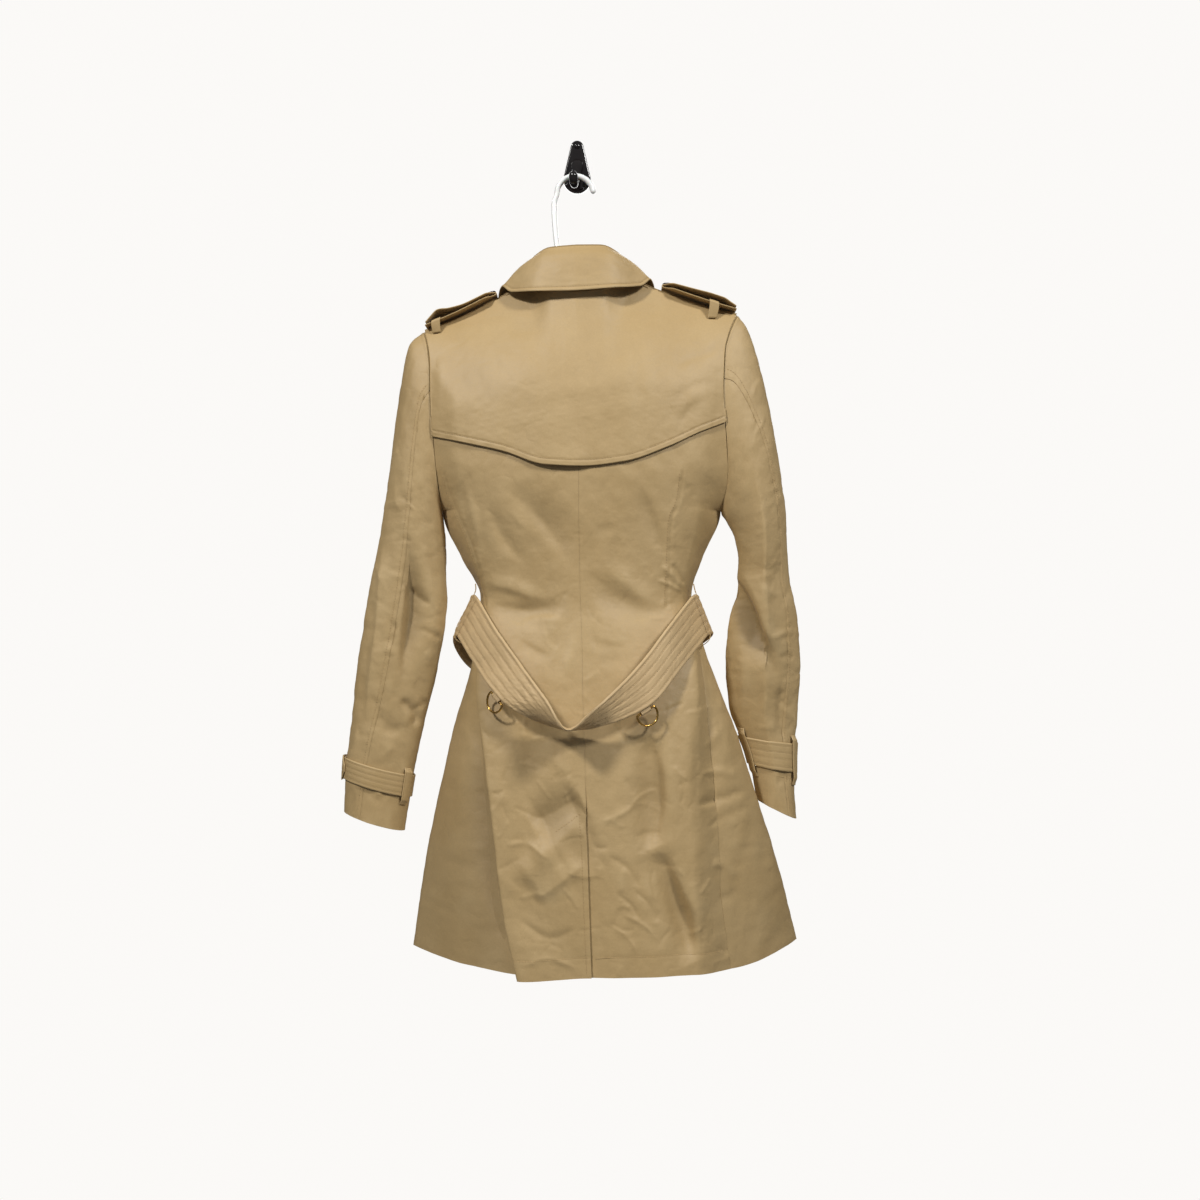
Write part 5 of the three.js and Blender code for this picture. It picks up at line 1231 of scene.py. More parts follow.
def sleeve_relief(side):
    def relief(share, t, p):
        x, z = p[..., 0], p[..., 2]
        seam = np.minimum(share, 1 - share) * SLEEVE_PART_WIDTH
        height = groove(seam, 0.22, 1.3) + groove(t * SLEEVE_LENGTH, 0.7, 2.5)
        height += ridge(t * SLEEVE_LENGTH - 6, 0.5, 4)
        height += 0.25 * np.exp(-seam / 10) * waves(z, x, 12, 41, 2)
        seen = fold_relief(x, z, SLEEVE_FOLDS[side]) * ease((SLEEVE_HEAD_Y + 14 - p[..., 1]) / 14)
        height += (seen + fold_relief(x, z, SLEEVE_CRUMPLES[side])) * ease(np.minimum(t, 1.02 - t) * 14)
        height += 0.6 * waves(x, z * 0.5 + 0.6 * p[..., 1], 52, 43 if side == "left" else 44) * ease(t * 6)
        height += 0.22 * waves(x + p[..., 1], z, 22, 45)
        height += groove((1 - t) * SLEEVE_LENGTH - SLEEVE_HEM, 0.35, 1.6)
        return np.clip(height, -16, 5)
    return relief


def sleeve_tone(share, t, p):
    seam = np.minimum(share, 1 - share) * SLEEVE_PART_WIDTH
    tone = 1 + groove(seam, 0.025, 1.3) + groove(t * SLEEVE_LENGTH, 0.06, 2)
    return tone + 0.02 * waves(p[..., 0], p[..., 2], 50, 47) + ridge((1 - t) * SLEEVE_LENGTH, 0.06, 2)


def make_sleeves():
    for side in ("left", "right"):
        for part in ("upper", "under"):
            cloth(f"sleeve_{side}_{part}", sleeve_part(side, part), drawn_in(60, 0, 1, 0.001),
                  drawn_in(231, 0, 1, 0.0008), SIGN[side], sleeve_relief(side), sleeve_tone,
                  round_edge=0.15)


# ---- Storm flap, collar, stand and lapels ----------------------------------------------------

FLAP_YOKE_SHARE = 0.75
FLAP_YOKE_V = 0.5
FLAP_STITCH = 7.0
COLLAR_STITCH = 5.0
COLLAR_WIDTH = 74         # over its fold, from seam to edge


def storm_flap_sheet(u, share):
    u, share = spread(u, share)
    columns, place = np.unique(np.round(u.ravel(), 9), return_inverse=True)
    edge = level_of(columns, read(FLAP_EDGE, "u", "z", columns))[place].reshape(u.shape)
    v = np.where(share < FLAP_YOKE_SHARE, np.maximum(FLAP_TOP_V, FLAP_YOKE_V * share / FLAP_YOKE_SHARE),
                 mix(FLAP_YOKE_V, edge, (share - FLAP_YOKE_SHARE) / (1 - FLAP_YOKE_SHARE)))
    lift = CLOTH + LAY + FLAP_LIFT * ease(share * 1.5 - 0.5) * (1 + 3 * ease(1 - np.abs(u + 0.2) * 3))
    return lifted(back, np.clip(u, -0.995, 0.995), v, lift, -1)


def flap_edge_distance(u, p):
    return p[..., 2] - read(FLAP_EDGE, "u", "z", u.ravel()).reshape(u.shape)


NECK_SEAM = ((-84, -183), (-50, -191), (-3, -194.5), (36, -189), (64, -181))
FLAP_FOLDS = (
    (((-157, -250), (-138, -284), (-117, -319), (-100, -349)), 22, 30, -2.6, 2),
    (((-88, -242), (-61, -230), (-42, -238)), 16, 16, -1.5, 2),
    (((115, -280), (145, -269), (180, -253)), 5, 5, -0.8, 1.6),
    (((115, -330), (141, -307), (176, -296)), 5, 5, -0.9, 1.6),
    (((122, -361), (145, -330), (172, -315)), 10, 6, -1.2, 2),
    (((-169, -261), (-169, -288), (-167, -322)), 8, 8, 1.2, 2),
    (((23, -204), (53, -242), (61, -299)), 20, 20, -1.0, 2),)


def flap_relief(u, share, p):
    x, z = p[..., 0], p[..., 2]
    off = flap_edge_distance(u, p)
    height = groove(off - FLAP_STITCH, 0.32, 1.2) + 0.2 * ease((FLAP_STITCH - 1 - off) / 2)
    height += 0.16 * np.exp(-np.abs(off - FLAP_STITCH) / 5) * waves(x, z, 11, 51, 2)
    height += fold_relief(x, z, FLAP_FOLDS)
    neck = across_line(x, z, NECK_SEAM)[0]
    height += groove(neck, 0.5, 1.0) - 0.7 * ease((neck + 1) / 2)
    height += 3.2 * ease(1 - off / 34) * ridge(u - 0.08, 1, 0.4) * (0.6 + 0.4 * waves(x, z * 0, 60, 54, 1))
    height += ease(share * 2) * (0.5 * waves(x, z * 0.6, 90, 52) + 0.16 * waves(x, z, 28, 53))
    return height


def flap_tone(u, share, p):
    off = flap_edge_distance(u, p)
    neck = across_line(p[..., 0], p[..., 2], NECK_SEAM)[0]
    return (1 + groove(off - FLAP_STITCH, 0.09, 1.1) + 0.02 * ease((2 - off) / 2) + groove(neck, 0.14, 0.9)
            + 0.015 * waves(p[..., 0], p[..., 2], 70, 55))


def collar_relief(s, w, p):
    fall = (1 - w) * COLLAR_WIDTH
    height = groove(fall - COLLAR_STITCH, 0.45, 1.2) + 0.35 * ease((COLLAR_STITCH - 1 - fall) / 1.5)
    height += 0.3 * waves(p[..., 0], p[..., 2] + p[..., 1], 40, 61) * ease((w - 0.25) * 5)
    return height


def collar_tone(s, w, p):
    fall = (1 - w) * COLLAR_WIDTH
    return (1 + groove(fall - COLLAR_STITCH, 0.09, 1.1) + 0.05 * ease((2 - fall) / 2)
            + ridge(w - 0.2, 0.04, 0.03) + 0.015 * waves(p[..., 0], p[..., 2], 50, 62))


def make_upper():
    shares = np.concatenate([steps(0, 0.75, 42), steps(0.75, 1, 90)[1:]])
    cloth("storm_flap", storm_flap_sheet, steps(-1, 1, 180), shares, -1, flap_relief, flap_tone,
          round_edge=0.35)
    ws = np.concatenate([steps(0, 0.17, 12), steps(0.17, 0.28, 16)[1:], steps(0.28, 1, 44)[1:]])
    cloth("collar", collar, steps(-1, 1, 150), ws, -1, collar_relief, collar_tone, round_edge=0.35)
    cloth("collar_stand", collar_stand, steps(-STAND_S, STAND_S, 90), steps(0, 1, 12), 1, round_edge=0.1)
    for side in ("left", "right"):
        cloth(f"lapel_{side}", on_side(lapel, side), steps(0, 1, 40), steps(0, 1, 40), -SIGN[side])


# ---- Epaulettes ------------------------------------------------------------------------------

def make_epaulettes():
    plies = np.concatenate([steps(-1, -0.05, 40), steps(-0.05, 0.05, 16)[1:], steps(0.05, 1, 60)[1:]])
    for side in ("left", "right"):
        sign = SIGN[side]

        def relief(k, w, p):
            rim = (1 - np.abs(w)) * EPAULETTE["half"]
            return (groove(rim - 4, 0.35, 0.9) + 0.2 * ease((3 - rim) / 1.5)) * ease((np.abs(k) - 0.04) * 12)

        def tone(k, w, p):
            rim = (1 - np.abs(w)) * EPAULETTE["half"]
            edge = groove(rim - 4, 0.08, 1) + 0.07 * ease((1.6 - rim) / 1.6)
            return 1 + edge + ridge(k, 0.05, EPAULETTE["fold"])

        cloth(f"epaulette_{side}", on_side(epaulette, side), plies, steps(-1, 1, 36), sign, relief, tone,
              round_edge=0.35)
        grid = epaulette_loop(side, steps(0, 1, 12), steps(0, 1, 70))
        normals = normals_of_grid(grid, sign)
        u = np.broadcast_to(steps(0, 1, 12), grid.shape[:2])
        grid = grid + normals * (groove((0.5 - np.abs(u - 0.5)) * 14 - 2.2, 0.25, 0.8))[..., None]
        finished(f"epaulette_loop_{side}", *cloth_shell(grid, normals, CLOTH, False, 0.35))


# ---- The belt --------------------------------------------------------------------------------

BELT_WIDTH = 50
BELT_ROWS = (0.09, 0.29, 0.5, 0.71, 0.91)


BELT_SEAM_S = 0.49
BELT_ROUND = 750          # roughly the belt's length round the coat


def belt_seam_distance(s, w):
    """From the slanting seam that joins the belt's two lengths."""
    return (s - BELT_SEAM_S) * BELT_ROUND + (w - 0.5) * 14


def belt_relief(s, w, p):
    along = s * BELT_ROUND
    height = grooves(BELT_ROWS, w, BELT_WIDTH, 0.55, 1.3)
    puckered = 0.12 + ridge(s - 0.21, 0.22, 0.05) + ridge(s - 0.36, 0.16, 0.05)
    height += puckered * waves(along, w * BELT_WIDTH, 9, 71, 2)
    height += 0.5 * waves(along, w * BELT_WIDTH * 0.5, 70, 72)
    height += ridge(w * BELT_WIDTH - 1.3, 0.22, 1.1) + groove(w * BELT_WIDTH - 3.1, 0.35, 0.7)
    return height + groove(belt_seam_distance(s, w), 0.35, 0.9)


def belt_tone(s, w, p):
    rim = np.minimum(w, 1 - w) * BELT_WIDTH
    tone = 1 + grooves(BELT_ROWS, w, BELT_WIDTH, 0.05, 1.1)
    tone += 0.015 * ease((3 - w * BELT_WIDTH) / 1.5) + groove(belt_seam_distance(s, w), 0.1, 0.8)
    return tone + 0.02 * ease((1.6 - rim) / 1.6) + 0.02 * waves(s * BELT_ROUND, w * BELT_WIDTH, 50, 73)


def make_belt():
    cloth("belt", belt, steps(0, 1, 420)[:-1], steps(0, 1, 44), -1, belt_relief, belt_tone, BELT_THICK, True,
          0.45, BELT_CLOTH, "belt_cotton")


# ---- Cuffs -----------------------------------------------------------------------------------

STRAP_ROWS = (0.12, 0.38, 0.63, 0.88)


def strap_relief(width):
    def relief(angle, w, p):
        return grooves(STRAP_ROWS, w, width, 0.35, 0.9) + 0 * angle
    return relief


def strap_tone(width):
    def tone(angle, w, p):
        rim = np.minimum(w, 1 - w) * width
        return 1 + grooves(STRAP_ROWS, w, width, 0.08, 0.9) + 0.06 * ease((1.2 - rim) / 1.2)
    return tone


def strap_width(side):
    low, high = CUFF_STRAP[side]
    edges = [at_one(on_side(sleeve, side), math.pi / 2, t) for t in (low, high)]
    return float(np.linalg.norm(edges[0] - edges[1]))


def make_cuffs():
    for side in ("left", "right"):
        sign, width = SIGN[side], strap_width(side)
        cloth(f"cuff_strap_{side}", on_side(cuff_strap, side),
              np.radians(steps(0, 360, 180)[:-1]), steps(0, 1, 26), sign, strap_relief(width), strap_tone(width),
              STRAP_THICK, True)
        for place, turn in CUFF_LOOPS[side].items():
            cloth(f"cuff_loop_{side}_{place}", lambda a, w, side=side, turn=turn: cuff_loop(side, turn, a, w),
                  steps(0, 1, 14), steps(0, 1, 60), sign,
                  lambda a, w, p: groove((0.5 - np.abs(a - 0.5)) * 11 - 1.8, 0.3, 0.7))
        cloth(f"cuff_tail_{side}", on_side(cuff_tail, side), steps(0, 1, 50), steps(0, 1, 26), sign,
              strap_relief(width), strap_tone(width), STRAP_THICK)


# ---- Metal, plastic, leather and horn --------------------------------------------------------

RING_RADIUS = 13.2
RING_BOW_OFFSET = 5
RING_WIRE = 1.25
RING_TAB_WIDTH = 13
RING_DROP = 4.6
RING_AT = {"left": 0.168, "right": 0.418}
TAB_BORE = RING_WIRE + 0.45
TAB_PLY = 1.2
TAB_STRIP = 1.2
TAB_LENGTH = 15
TAB_STITCH = 4.6          # from the tab's middle
PLATE = {"top": 34, "bottom": -35, "top_radius": 8.5, "bottom_radius": 18, "depth": 6}
HANGER_TUBE = 3.5
HANGER_Y = -58


def hard(name, vertices, faces, material, slot, body=COAT, added=False):
    """A rigid piece, which replaces the node of its name unless it is a part of another piece."""
    piece = mesh_object(f"{name}_shape", vertices, faces, body, material)
    close_up(piece, weld=True)
    if not added:
        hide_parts(name)


def swept(path, radius, sides=20, closed=False, flat=1.0, up=(0.31, 0.53, 0.79)):
    """A tube along a path. radius is one number or one for each point; flat scales it along the
    second axis of the section. Returns vertices and faces, with round ends where it is open."""
    path = np.asarray(path, float)
    count = len(path)
    tangent = unit(np.roll(path, -1, 0) - np.roll(path, 1, 0)) if closed else unit(np.gradient(path, axis=0))
    frames = []
    normal = np.asarray(up, float)
    for t in tangent:
        normal = normal - t * np.dot(normal, t)
        normal = normal / np.linalg.norm(normal)
        frames.append(normal)
    frames = np.array(frames)
    if closed:
        # The frame comes home turned, so each ring gives back its share of that turn.
        last = frames[-1] - tangent[0] * np.dot(frames[-1], tangent[0])
        last /= np.linalg.norm(last)
        spin = math.atan2(np.dot(np.cross(last, frames[0]), tangent[0]), np.dot(last, frames[0]))
        side = np.cross(tangent, frames)
        share = (np.arange(count) / count * spin)[:, None]
        frames = frames * np.cos(share) + side * np.sin(share)
    side = np.cross(tangent, frames)
    radius = np.broadcast_to(np.asarray(radius, float), (count,))
    turn = np.linspace(0, 2 * math.pi, sides, endpoint=False)

    def ring(i, angle=0.0):
        """The ring at point i, or past an end on its half sphere, at an angle from its rim."""
        centre, r = path[i] + tangent[i] * radius[i] * math.sin(angle), radius[i] * math.cos(angle)
        return centre + r * (np.cos(turn)[:, None] * frames[i] + flat * np.sin(turn)[:, None] * side[i])

    caps = [] if closed else [math.radians(angle) for angle in (20, 40, 60, 80)]
    rings = ([ring(0, -angle) for angle in caps[::-1]] + [ring(i) for i in range(count)]
             + [ring(-1, angle) for angle in caps])
    vertices = np.concatenate(rings)
    faces = quads(len(rings), sides, wrap=True)
    k, last = np.arange(sides), (len(rings) - 1) * sides
    after = (k + 1) % sides
    if closed:
        return vertices, np.concatenate([faces, np.stack([last + k, k, after, last + after], axis=-1)])
    tips = np.array([path[0] - tangent[0] * radius[0], path[-1] + tangent[-1] * radius[-1]])
    start = np.stack([np.full(sides, len(vertices)), after, k, k], axis=-1)
    end = np.stack([np.full(sides, len(vertices) + 1), last + after, last + k, last + k], axis=-1)
    return np.concatenate([vertices, tips]), np.concatenate([faces, start, end])


def merged(*parts):
    vertices, faces, count = [], [], 0
    for v, f in parts:
        vertices.append(np.asarray(v).reshape(-1, 3))
        faces.append(np.asarray(f) + count)
        count += len(vertices[-1])
    return np.concatenate(vertices), np.concatenate(faces)


def turned(profile, sides, shift):
    """A lathe round +Y from rows of radius and height; shift changes its grid of points."""
    profile = np.asarray(profile, float)
    turn = np.linspace(0, 2 * math.pi, sides, endpoint=False)
    grid = shift(points(profile[:, :1] * np.cos(turn), profile[:, 1:], profile[:, :1] * np.sin(turn)))
    return grid.reshape(-1, 3), quads(len(profile), sides, wrap=True)


def in_frame(vertices, origin, x_axis, y_axis):
    z_axis = np.cross(x_axis, y_axis)
    v = np.asarray(vertices)
    return origin + v[:, :1] * x_axis + v[:, 1:2] * y_axis + v[:, 2:3] * z_axis


def ring_frame(side):
    """The middle of a ring's straight bar, and the directions along it, out of the belt and down."""
    s = RING_AT[side]
    low = at_one(belt, s, 1)
    along = unit(at_one(belt, s + 0.004, 1) - at_one(belt, s - 0.004, 1))
    out = low - at_one(belt, s, 0.7)
    out = unit(out - along * np.dot(out, along))
    inward = unit(np.cross(along, out))
    if inward[1] < 0:
        inward = -inward
    bar = low + out * RING_DROP + inward * (BELT_THICK + LAY + TAB_STRIP)
    hang = np.array([0, 0, -1.0])
    hang = unit(hang - along * np.dot(hang, along))
    return bar, along, out, hang


def make_rings():
    half = math.sqrt(RING_RADIUS ** 2 - RING_BOW_OFFSET ** 2)
    start = math.atan2(-RING_BOW_OFFSET, half)
    angle = steps(start, math.pi - start, 72)
    bow = points(RING_RADIUS * np.cos(angle), RING_BOW_OFFSET + RING_RADIUS * np.sin(angle), 0)
    bar = points(steps(-half, half, 22)[1:-1], 0, 0)
    path = np.concatenate([bow, bar])
    tab_turn = np.radians(steps(-90, 90, 26))
    outer = TAB_BORE + TAB_PLY
    narrow = lambda y: mix(TAB_STRIP, outer, ease((y + outer * 1.6) / (outer * 1.6)))
    straight = steps(-TAB_LENGTH, 0, 24)[:-1]
    ply = np.concatenate([
        np.stack([straight, -narrow(straight)], axis=1),
        np.stack([outer * np.cos(tab_turn), outer * np.sin(tab_turn)], axis=1),
        np.stack([straight[::-1], narrow(straight[::-1])], axis=1)])
    for side, body in (("left", RING_LEFT), ("right", RING_RIGHT)):
        origin, along, out, hang = ring_frame(side)
        vertices, faces = swept(path, RING_WIRE, 18, True)
        hard(f"belt_ring_{side}", in_frame(vertices, origin, along, hang), faces, BRASS, "brass", body)
        across = steps(-RING_TAB_WIDTH / 2, RING_TAB_WIDTH / 2, 20)
        grid = points(across, ply[:, :1], ply[:, 1:])
        local = normals_of_grid(grid, 1)
        if np.dot(local[len(ply) // 2, 10], [0, 1, 0]) < 0:
            local = -local
        grid = grid + local * groove(np.abs(grid[..., 0]) - TAB_STITCH, 0.2, 0.7)[..., None]
        vertices, faces, grains, tones, ngons = cloth_shell(grid, local, 1.1, False, 0.3)
        tones = tones + groove(np.abs(vertices[:, 0]) - TAB_STITCH, 0.08, 0.8)
        finished(f"belt_ring_tab_{side}", in_frame(vertices, origin, along, out), faces, grains, tones, ngons,
                 BELT_CLOTH, "belt_cotton")


THREAD_LOOP = table("z out", (-548, -0.2), (-556, 3), (-615, 4), (-628, -0.2))
LOOP_AT = {"left": 0.02, "right": 0.56}


def make_thread_loops():
    for side in ("left", "right"):
        sign = SIGN[side]
        knots = []
        for z, out in zip(THREAD_LOOP["z"], THREAD_LOOP["out"]):
            seam = at_one(back, sign, skirt_v(z))
            reach = np.clip((BELT["topZ"][0] - z) / (BELT["topZ"][0] - BELT["lowZ"][0]), 0, 1)
            strap = at_one(belt, LOOP_AT[side], reach)
            knots.append([(seam if out < 1 else strap)[0] + sign * out, strap[1], z])
        way = steps(0, 1, 120)
        path = through(knots)(way)
        twist = [points(np.cos(way * 90 + turn), np.sin(way * 90 + turn), 0) for turn in (0, math.pi)]
        vertices, faces = merged(*[swept(path + 0.42 * round_it, 0.36, 8) for round_it in twist])
        hard(f"belt_loop_{side}", vertices, faces, THREAD, "coat_cotton")


# From the sunk middle over the rim to the underside, as shares of the radius and the thickness.
BUTTON_RIM = ((0.66, 0.68), (0.7, 0.74), (0.76, 0.9), (0.82, 0.98), (0.88, 1.0), (0.94, 0.94), (0.985, 0.78),
              (1.0, 0.55), (0.985, 0.3), (0.95, 0.12), (0.9, 0.02), (0.6, 0.0))


def button_parts(radius, thick):
    """A button with a sunk middle and four holes, and the cross of thread through them."""
    profile = [(0.02, thick * 0.68)] + [(radius * 0.66 * k / 18, thick * 0.68) for k in range(1, 18)]
    profile += [(radius * r, thick * h) for r, h in BUTTON_RIM] + [(0.02, 0.0)]
    hole = radius * 0.19
    centres = [(sx * radius * 0.22, sz * radius * 0.22) for sx in (-1, 1) for sz in (-1, 1)]

    def drilled(grid):
        top = grid[..., 1] > thick * 0.5
        for cx, cz in centres:
            off = np.hypot(grid[..., 0] - cx, grid[..., 2] - cz)
            grid[..., 1] -= np.where(top, thick * 0.5 * np.exp(-(off / (hole * 0.72)) ** 4), 0)
        return grid

    body = turned(profile, 56, drilled)
    threads = []
    for (ax, az), (bx, bz) in ((centres[0], centres[3]), (centres[1], centres[2])):
        way = steps(0, 1, 12)
        for shift in (-0.28, 0.28):
            lean = np.array([az - bz, bx - ax]) / math.hypot(az - bz, bx - ax) * shift
            path = points(mix(ax, bx, way) + lean[0], thick * (0.45 + 0.42 * np.sin(way * math.pi) ** 0.5),
                          mix(az, bz, way) + lean[1])
            threads.append(swept(path, 0.28, 6))
    return body, merged(*threads)


def make_button(name, radius, thick, origin, x_axis, y_axis):
    body, threads = button_parts(radius, thick)
    hard(name, in_frame(body[0], origin, x_axis, y_axis), body[1], HORN, "horn_button")
    hard(f"{name}_thread", in_frame(threads[0], origin, x_axis, y_axis), threads[1], DARK_THREAD, "horn_button",
         added=True)


FRONT_BUTTONS = ({"z": -420, "left": -44, "right": 60}, {"z": -530, "left": -42, "right": 56},
                 {"z": -790, "left": -42, "right": 62})


def make_buttons():
    for side in ("left", "right"):
        strap = lambda k: at_one(on_side(epaulette, side), k, 0)
        seat = strap(0.1) + [0, 0, 0.5]
        lean = unit((strap(0.14) - strap(0.06)) * SIGN[side])
        make_button(f"epaulette_button_{side}", 7, 2.4, seat, lean, unit(np.cross(lean, [0, 1, 0])))
        for i, row in enumerate(FRONT_BUTTONS):
            seat = np.array([row[side], FRONT_Y["right"] + 0.5, row["z"]])
            make_button(f"front_button_{side}_{i + 1}", 11, 3, seat,
                        np.array([1.0, 0, 0]), np.array([0, 1.0, 0]))


def buckle_parts(width, height, rim, depth):
    """A leather-covered frame with its bar and prong, in its own XY plane."""
    corner = rim * 1.4 - rim / 2
    half_w, half_h = width / 2 - rim / 2, height / 2 - rim / 2
    path = []
    for i, (sx, sy) in enumerate(((1, 1), (-1, 1), (-1, -1), (1, -1))):
        a = np.radians(steps(90 * i, 90 * i + 90, 12))
        x, y = sx * (half_w - corner) + corner * np.cos(a), sy * (half_h - corner) + corner * np.sin(a)
        path.append(points(x, y, 0))
    dense = through(np.concatenate(path), True)(steps(0, 1, 160)[:-1])
    frame_part = swept(dense, rim / 2, 20, True, depth / rim, (0.0, 0.0, 1.0))
    bar = swept(points(0, steps(-half_h, half_h, 20), 0), rim * 0.3, 12)
    bow = depth * 0.35 + 0.6 * np.sin(steps(0, math.pi, 20))
    prong = swept(points(steps(0, -half_w - rim * 0.1, 20), 0, bow), rim * 0.2, 10)
    return merged(frame_part, bar), prong


def make_buckle(name, size, origin, x_axis, y_axis):
    leather, prong = buckle_parts(*size)
    hard(name, in_frame(leather[0], origin, x_axis, y_axis), leather[1], LEATHER, "dark_leather")
    hard(f"{name}_prong", in_frame(prong[0], origin, x_axis, y_axis), prong[1], BRASS, "brass", added=True)


def make_buckles():
    for side in ("left", "right"):
        low, high = CUFF_STRAP[side]
        angle, t = np.radians([CUFF_TAIL[side]["buckle"]]), np.array([(low + high) / 2])
        seat = lifted(on_side(sleeve, side), angle, t, STRAP_THICK + CUFF_LAY + 2, SIGN[side])[0]
        out = unit(seat - sleeve(side, angle, t)[0])
        along = sleeve(side, angle + 0.01, t)[0] - sleeve(side, angle - 0.01, t)[0]
        along = unit(along - out * np.dot(along, out))
        make_buckle(f"cuff_buckle_{side}", (20, 33, 3.2, 3), seat, along, np.cross(out, along))
    middle = at_one(belt, 0.786, 0.5)
    make_buckle("belt_buckle", (52, 62, 6, 3), np.array([middle[0], -5.2, middle[2]]),
                np.array([1.0, 0, 0]), np.array([0, 0, 1.0]))


# ---- Hanger and hook -------------------------------------------------------------------------

HOOK_BOW = {"x": -2, "z": -46.3, "radius": 23.5, "y": -36}
SHANK = ((-28.6, -36.5, -57), (-29, -38, -70), (-27.6, -43, -92), (-25.4, -48, -112), (-22, -52, -130),
         (-18, HANGER_Y, -150))


def make_hanger():
    a = np.radians(steps(10, 180, 9))
    bow = points(HOOK_BOW["x"] + HOOK_BOW["radius"] * np.cos(a), HOOK_BOW["y"],
                 HOOK_BOW["z"] + HOOK_BOW["radius"] * np.sin(a))
    hook = through(np.concatenate([bow, SHANK]))(steps(0, 1, 150))

    def below(u, drop):
        return at_one(back, u, 0) - [0, 1 + 6.4 * (1 - abs(u)), drop]

    at = lambda x, z: (x, HANGER_Y, z)
    loop = through([
        at(-18, -150), at(-36, -160),
        below(-0.48, 21.5), below(-0.65, 17.5), below(-0.8, 14.5), below(-0.93, 12.5),
        at(-186, -241), at(-178, -248), at(-140, -247), at(8, -240), at(150, -233), at(186, -231), at(193, -223),
        below(0.93, 12.5), below(0.8, 15), below(0.65, 18), below(0.48, 20.5),
        at(24, -159), at(2, -150)], True)
    tubes = merged(swept(hook, HANGER_TUBE, 24), swept(loop(steps(0, 1, 300)[:-1]), HANGER_TUBE, 24, True))
    hard("hanger", *tubes, WHITE_PLASTIC, "white_plastic")


PRONG = table("at x y z radius",
    (0, 0, -2, 2, 9), (1, 0, -7, 0, 8.4), (2, -0.5, -14, -7, 6.8), (3, -1.4, -21.5, -20, 5.7),
    (4, -2.2, -28, -29.2, 5.4), (5, -2.8, -34.5, -32.4, 5.4), (6, -3.2, -41, -33.6, 5.5),
    (7, -3.8, -46.5, -31.5, 5.8), (8, -4, -48, -27, 5.8), (9, -4, -48.3, -23.5, 4.8), (10, -4, -48.3, -21, 2.4))
SCREWS = ((0, 26.3), (-11.5, -24), (10.8, -24))
SCREW_RADIUS = 3.6


def plate_outline(inset):
    high, low = PLATE["top"] - PLATE["top_radius"], PLATE["bottom"] + PLATE["bottom_radius"]
    lean = math.asin((PLATE["bottom_radius"] - PLATE["top_radius"]) / (high - low))
    small, large = PLATE["top_radius"] - inset, PLATE["bottom_radius"] - inset
    under = steps(math.pi - lean, 2 * math.pi + lean, 60)
    above = steps(lean, math.pi - lean, 40)
    arcs = [(large * math.cos(a), low + large * math.sin(a)) for a in under]
    arcs += [(small * math.cos(a), high + small * math.sin(a)) for a in above]
    return np.array(arcs)


def make_hook():
    way = steps(0, 10, 110)
    radius = read(PRONG, "at", "radius", way)
    path = through(np.stack([PRONG["x"], PRONG["y"], PRONG["z"]], axis=1))(way / 10)
    prong = swept(path, radius * 0.995, 32, up=(1.0, 0.0, 0.0))
    face, sunk = -PLATE["depth"], -PLATE["depth"] + 0.35
    rounding = np.radians(steps(0, 90, 8))
    layers = [(0.0, 0.0), (0.0, face + 2.0)]
    layers += [(2.0 * (1 - math.cos(a)), face + 2.0 * (1 - math.sin(a))) for a in rounding]
    layers += [(3.4, face), (3.9, sunk), (5.0, sunk)]
    outlines = [(plate_outline(inset), y) for inset, y in layers]
    rings = [points(outline[:, 0], y, outline[:, 1]) for outline, y in outlines]
    count = len(rings[0])
    vertices = np.concatenate(rings + [np.array([[0, sunk, 0], [0, 0.0, 0]])])
    faces = quads(len(rings), count, wrap=True)
    k, after = np.arange(count), (np.arange(count) + 1) % count
    last = (len(rings) - 1) * count
    front_fan = np.stack([np.full(count, len(vertices) - 2), last + k, last + after, last + after], axis=-1)
    back_fan = np.stack([np.full(count, len(vertices) - 1), after, k, k], axis=-1)
    plate = (vertices, np.concatenate([faces, front_fan, back_fan]))
    hard("wall_hook", *merged(prong, plate), BLACK_METAL, "black_metal")
    dome = [(SCREW_RADIUS * math.sin(a), 2.1 * math.cos(a)) for a in np.radians(steps(0.5, 90, 22))]
    for i, (x, z) in enumerate(SCREWS):

        def slotted(grid, i=i):
            lean = grid[..., 0] * math.cos(0.6 + i) + grid[..., 2] * math.sin(0.6 + i)
            grid[..., 1] -= 0.8 * np.exp(-(lean / 0.5) ** 6) * (grid[..., 1] > 0.7)
            return grid

        vertices, faces = turned(dome + [(SCREW_RADIUS, -0.2), (0.02, -0.2)], 48, slotted)
        vertices = vertices * [1, -1, 1] + [x, face - 0.3, z]
        hard(f"hook_screw_{i + 1}", vertices, faces, BLACK_METAL, "black_metal")


# ---- Sewing ----------------------------------------------------------------------------------

PRINCESS_STITCH = 4.0     # from the princess seams to their row of stitches


def back_place(x, z):
    """The u and v at which the back passes a height and a place across."""
    u, v = np.clip(x / 150, -0.99, 0.99), np.full_like(x, 1.0)
    for _ in range(6):
        low, high = np.zeros_like(x), np.full_like(x, 2.0)
        for _ in range(22):
            v = (low + high) / 2
            above = back(u, v)[..., 2] > z
            low, high = np.where(above, v, low), np.where(above, high, v)
        low, high = np.full_like(x, -1.0), np.full_like(x, 1.0)
        for _ in range(22):
            u = (low + high) / 2
            before = back(u, v)[..., 0] < x
            low, high = np.where(before, u, low), np.where(before, high, u)
    return u, v


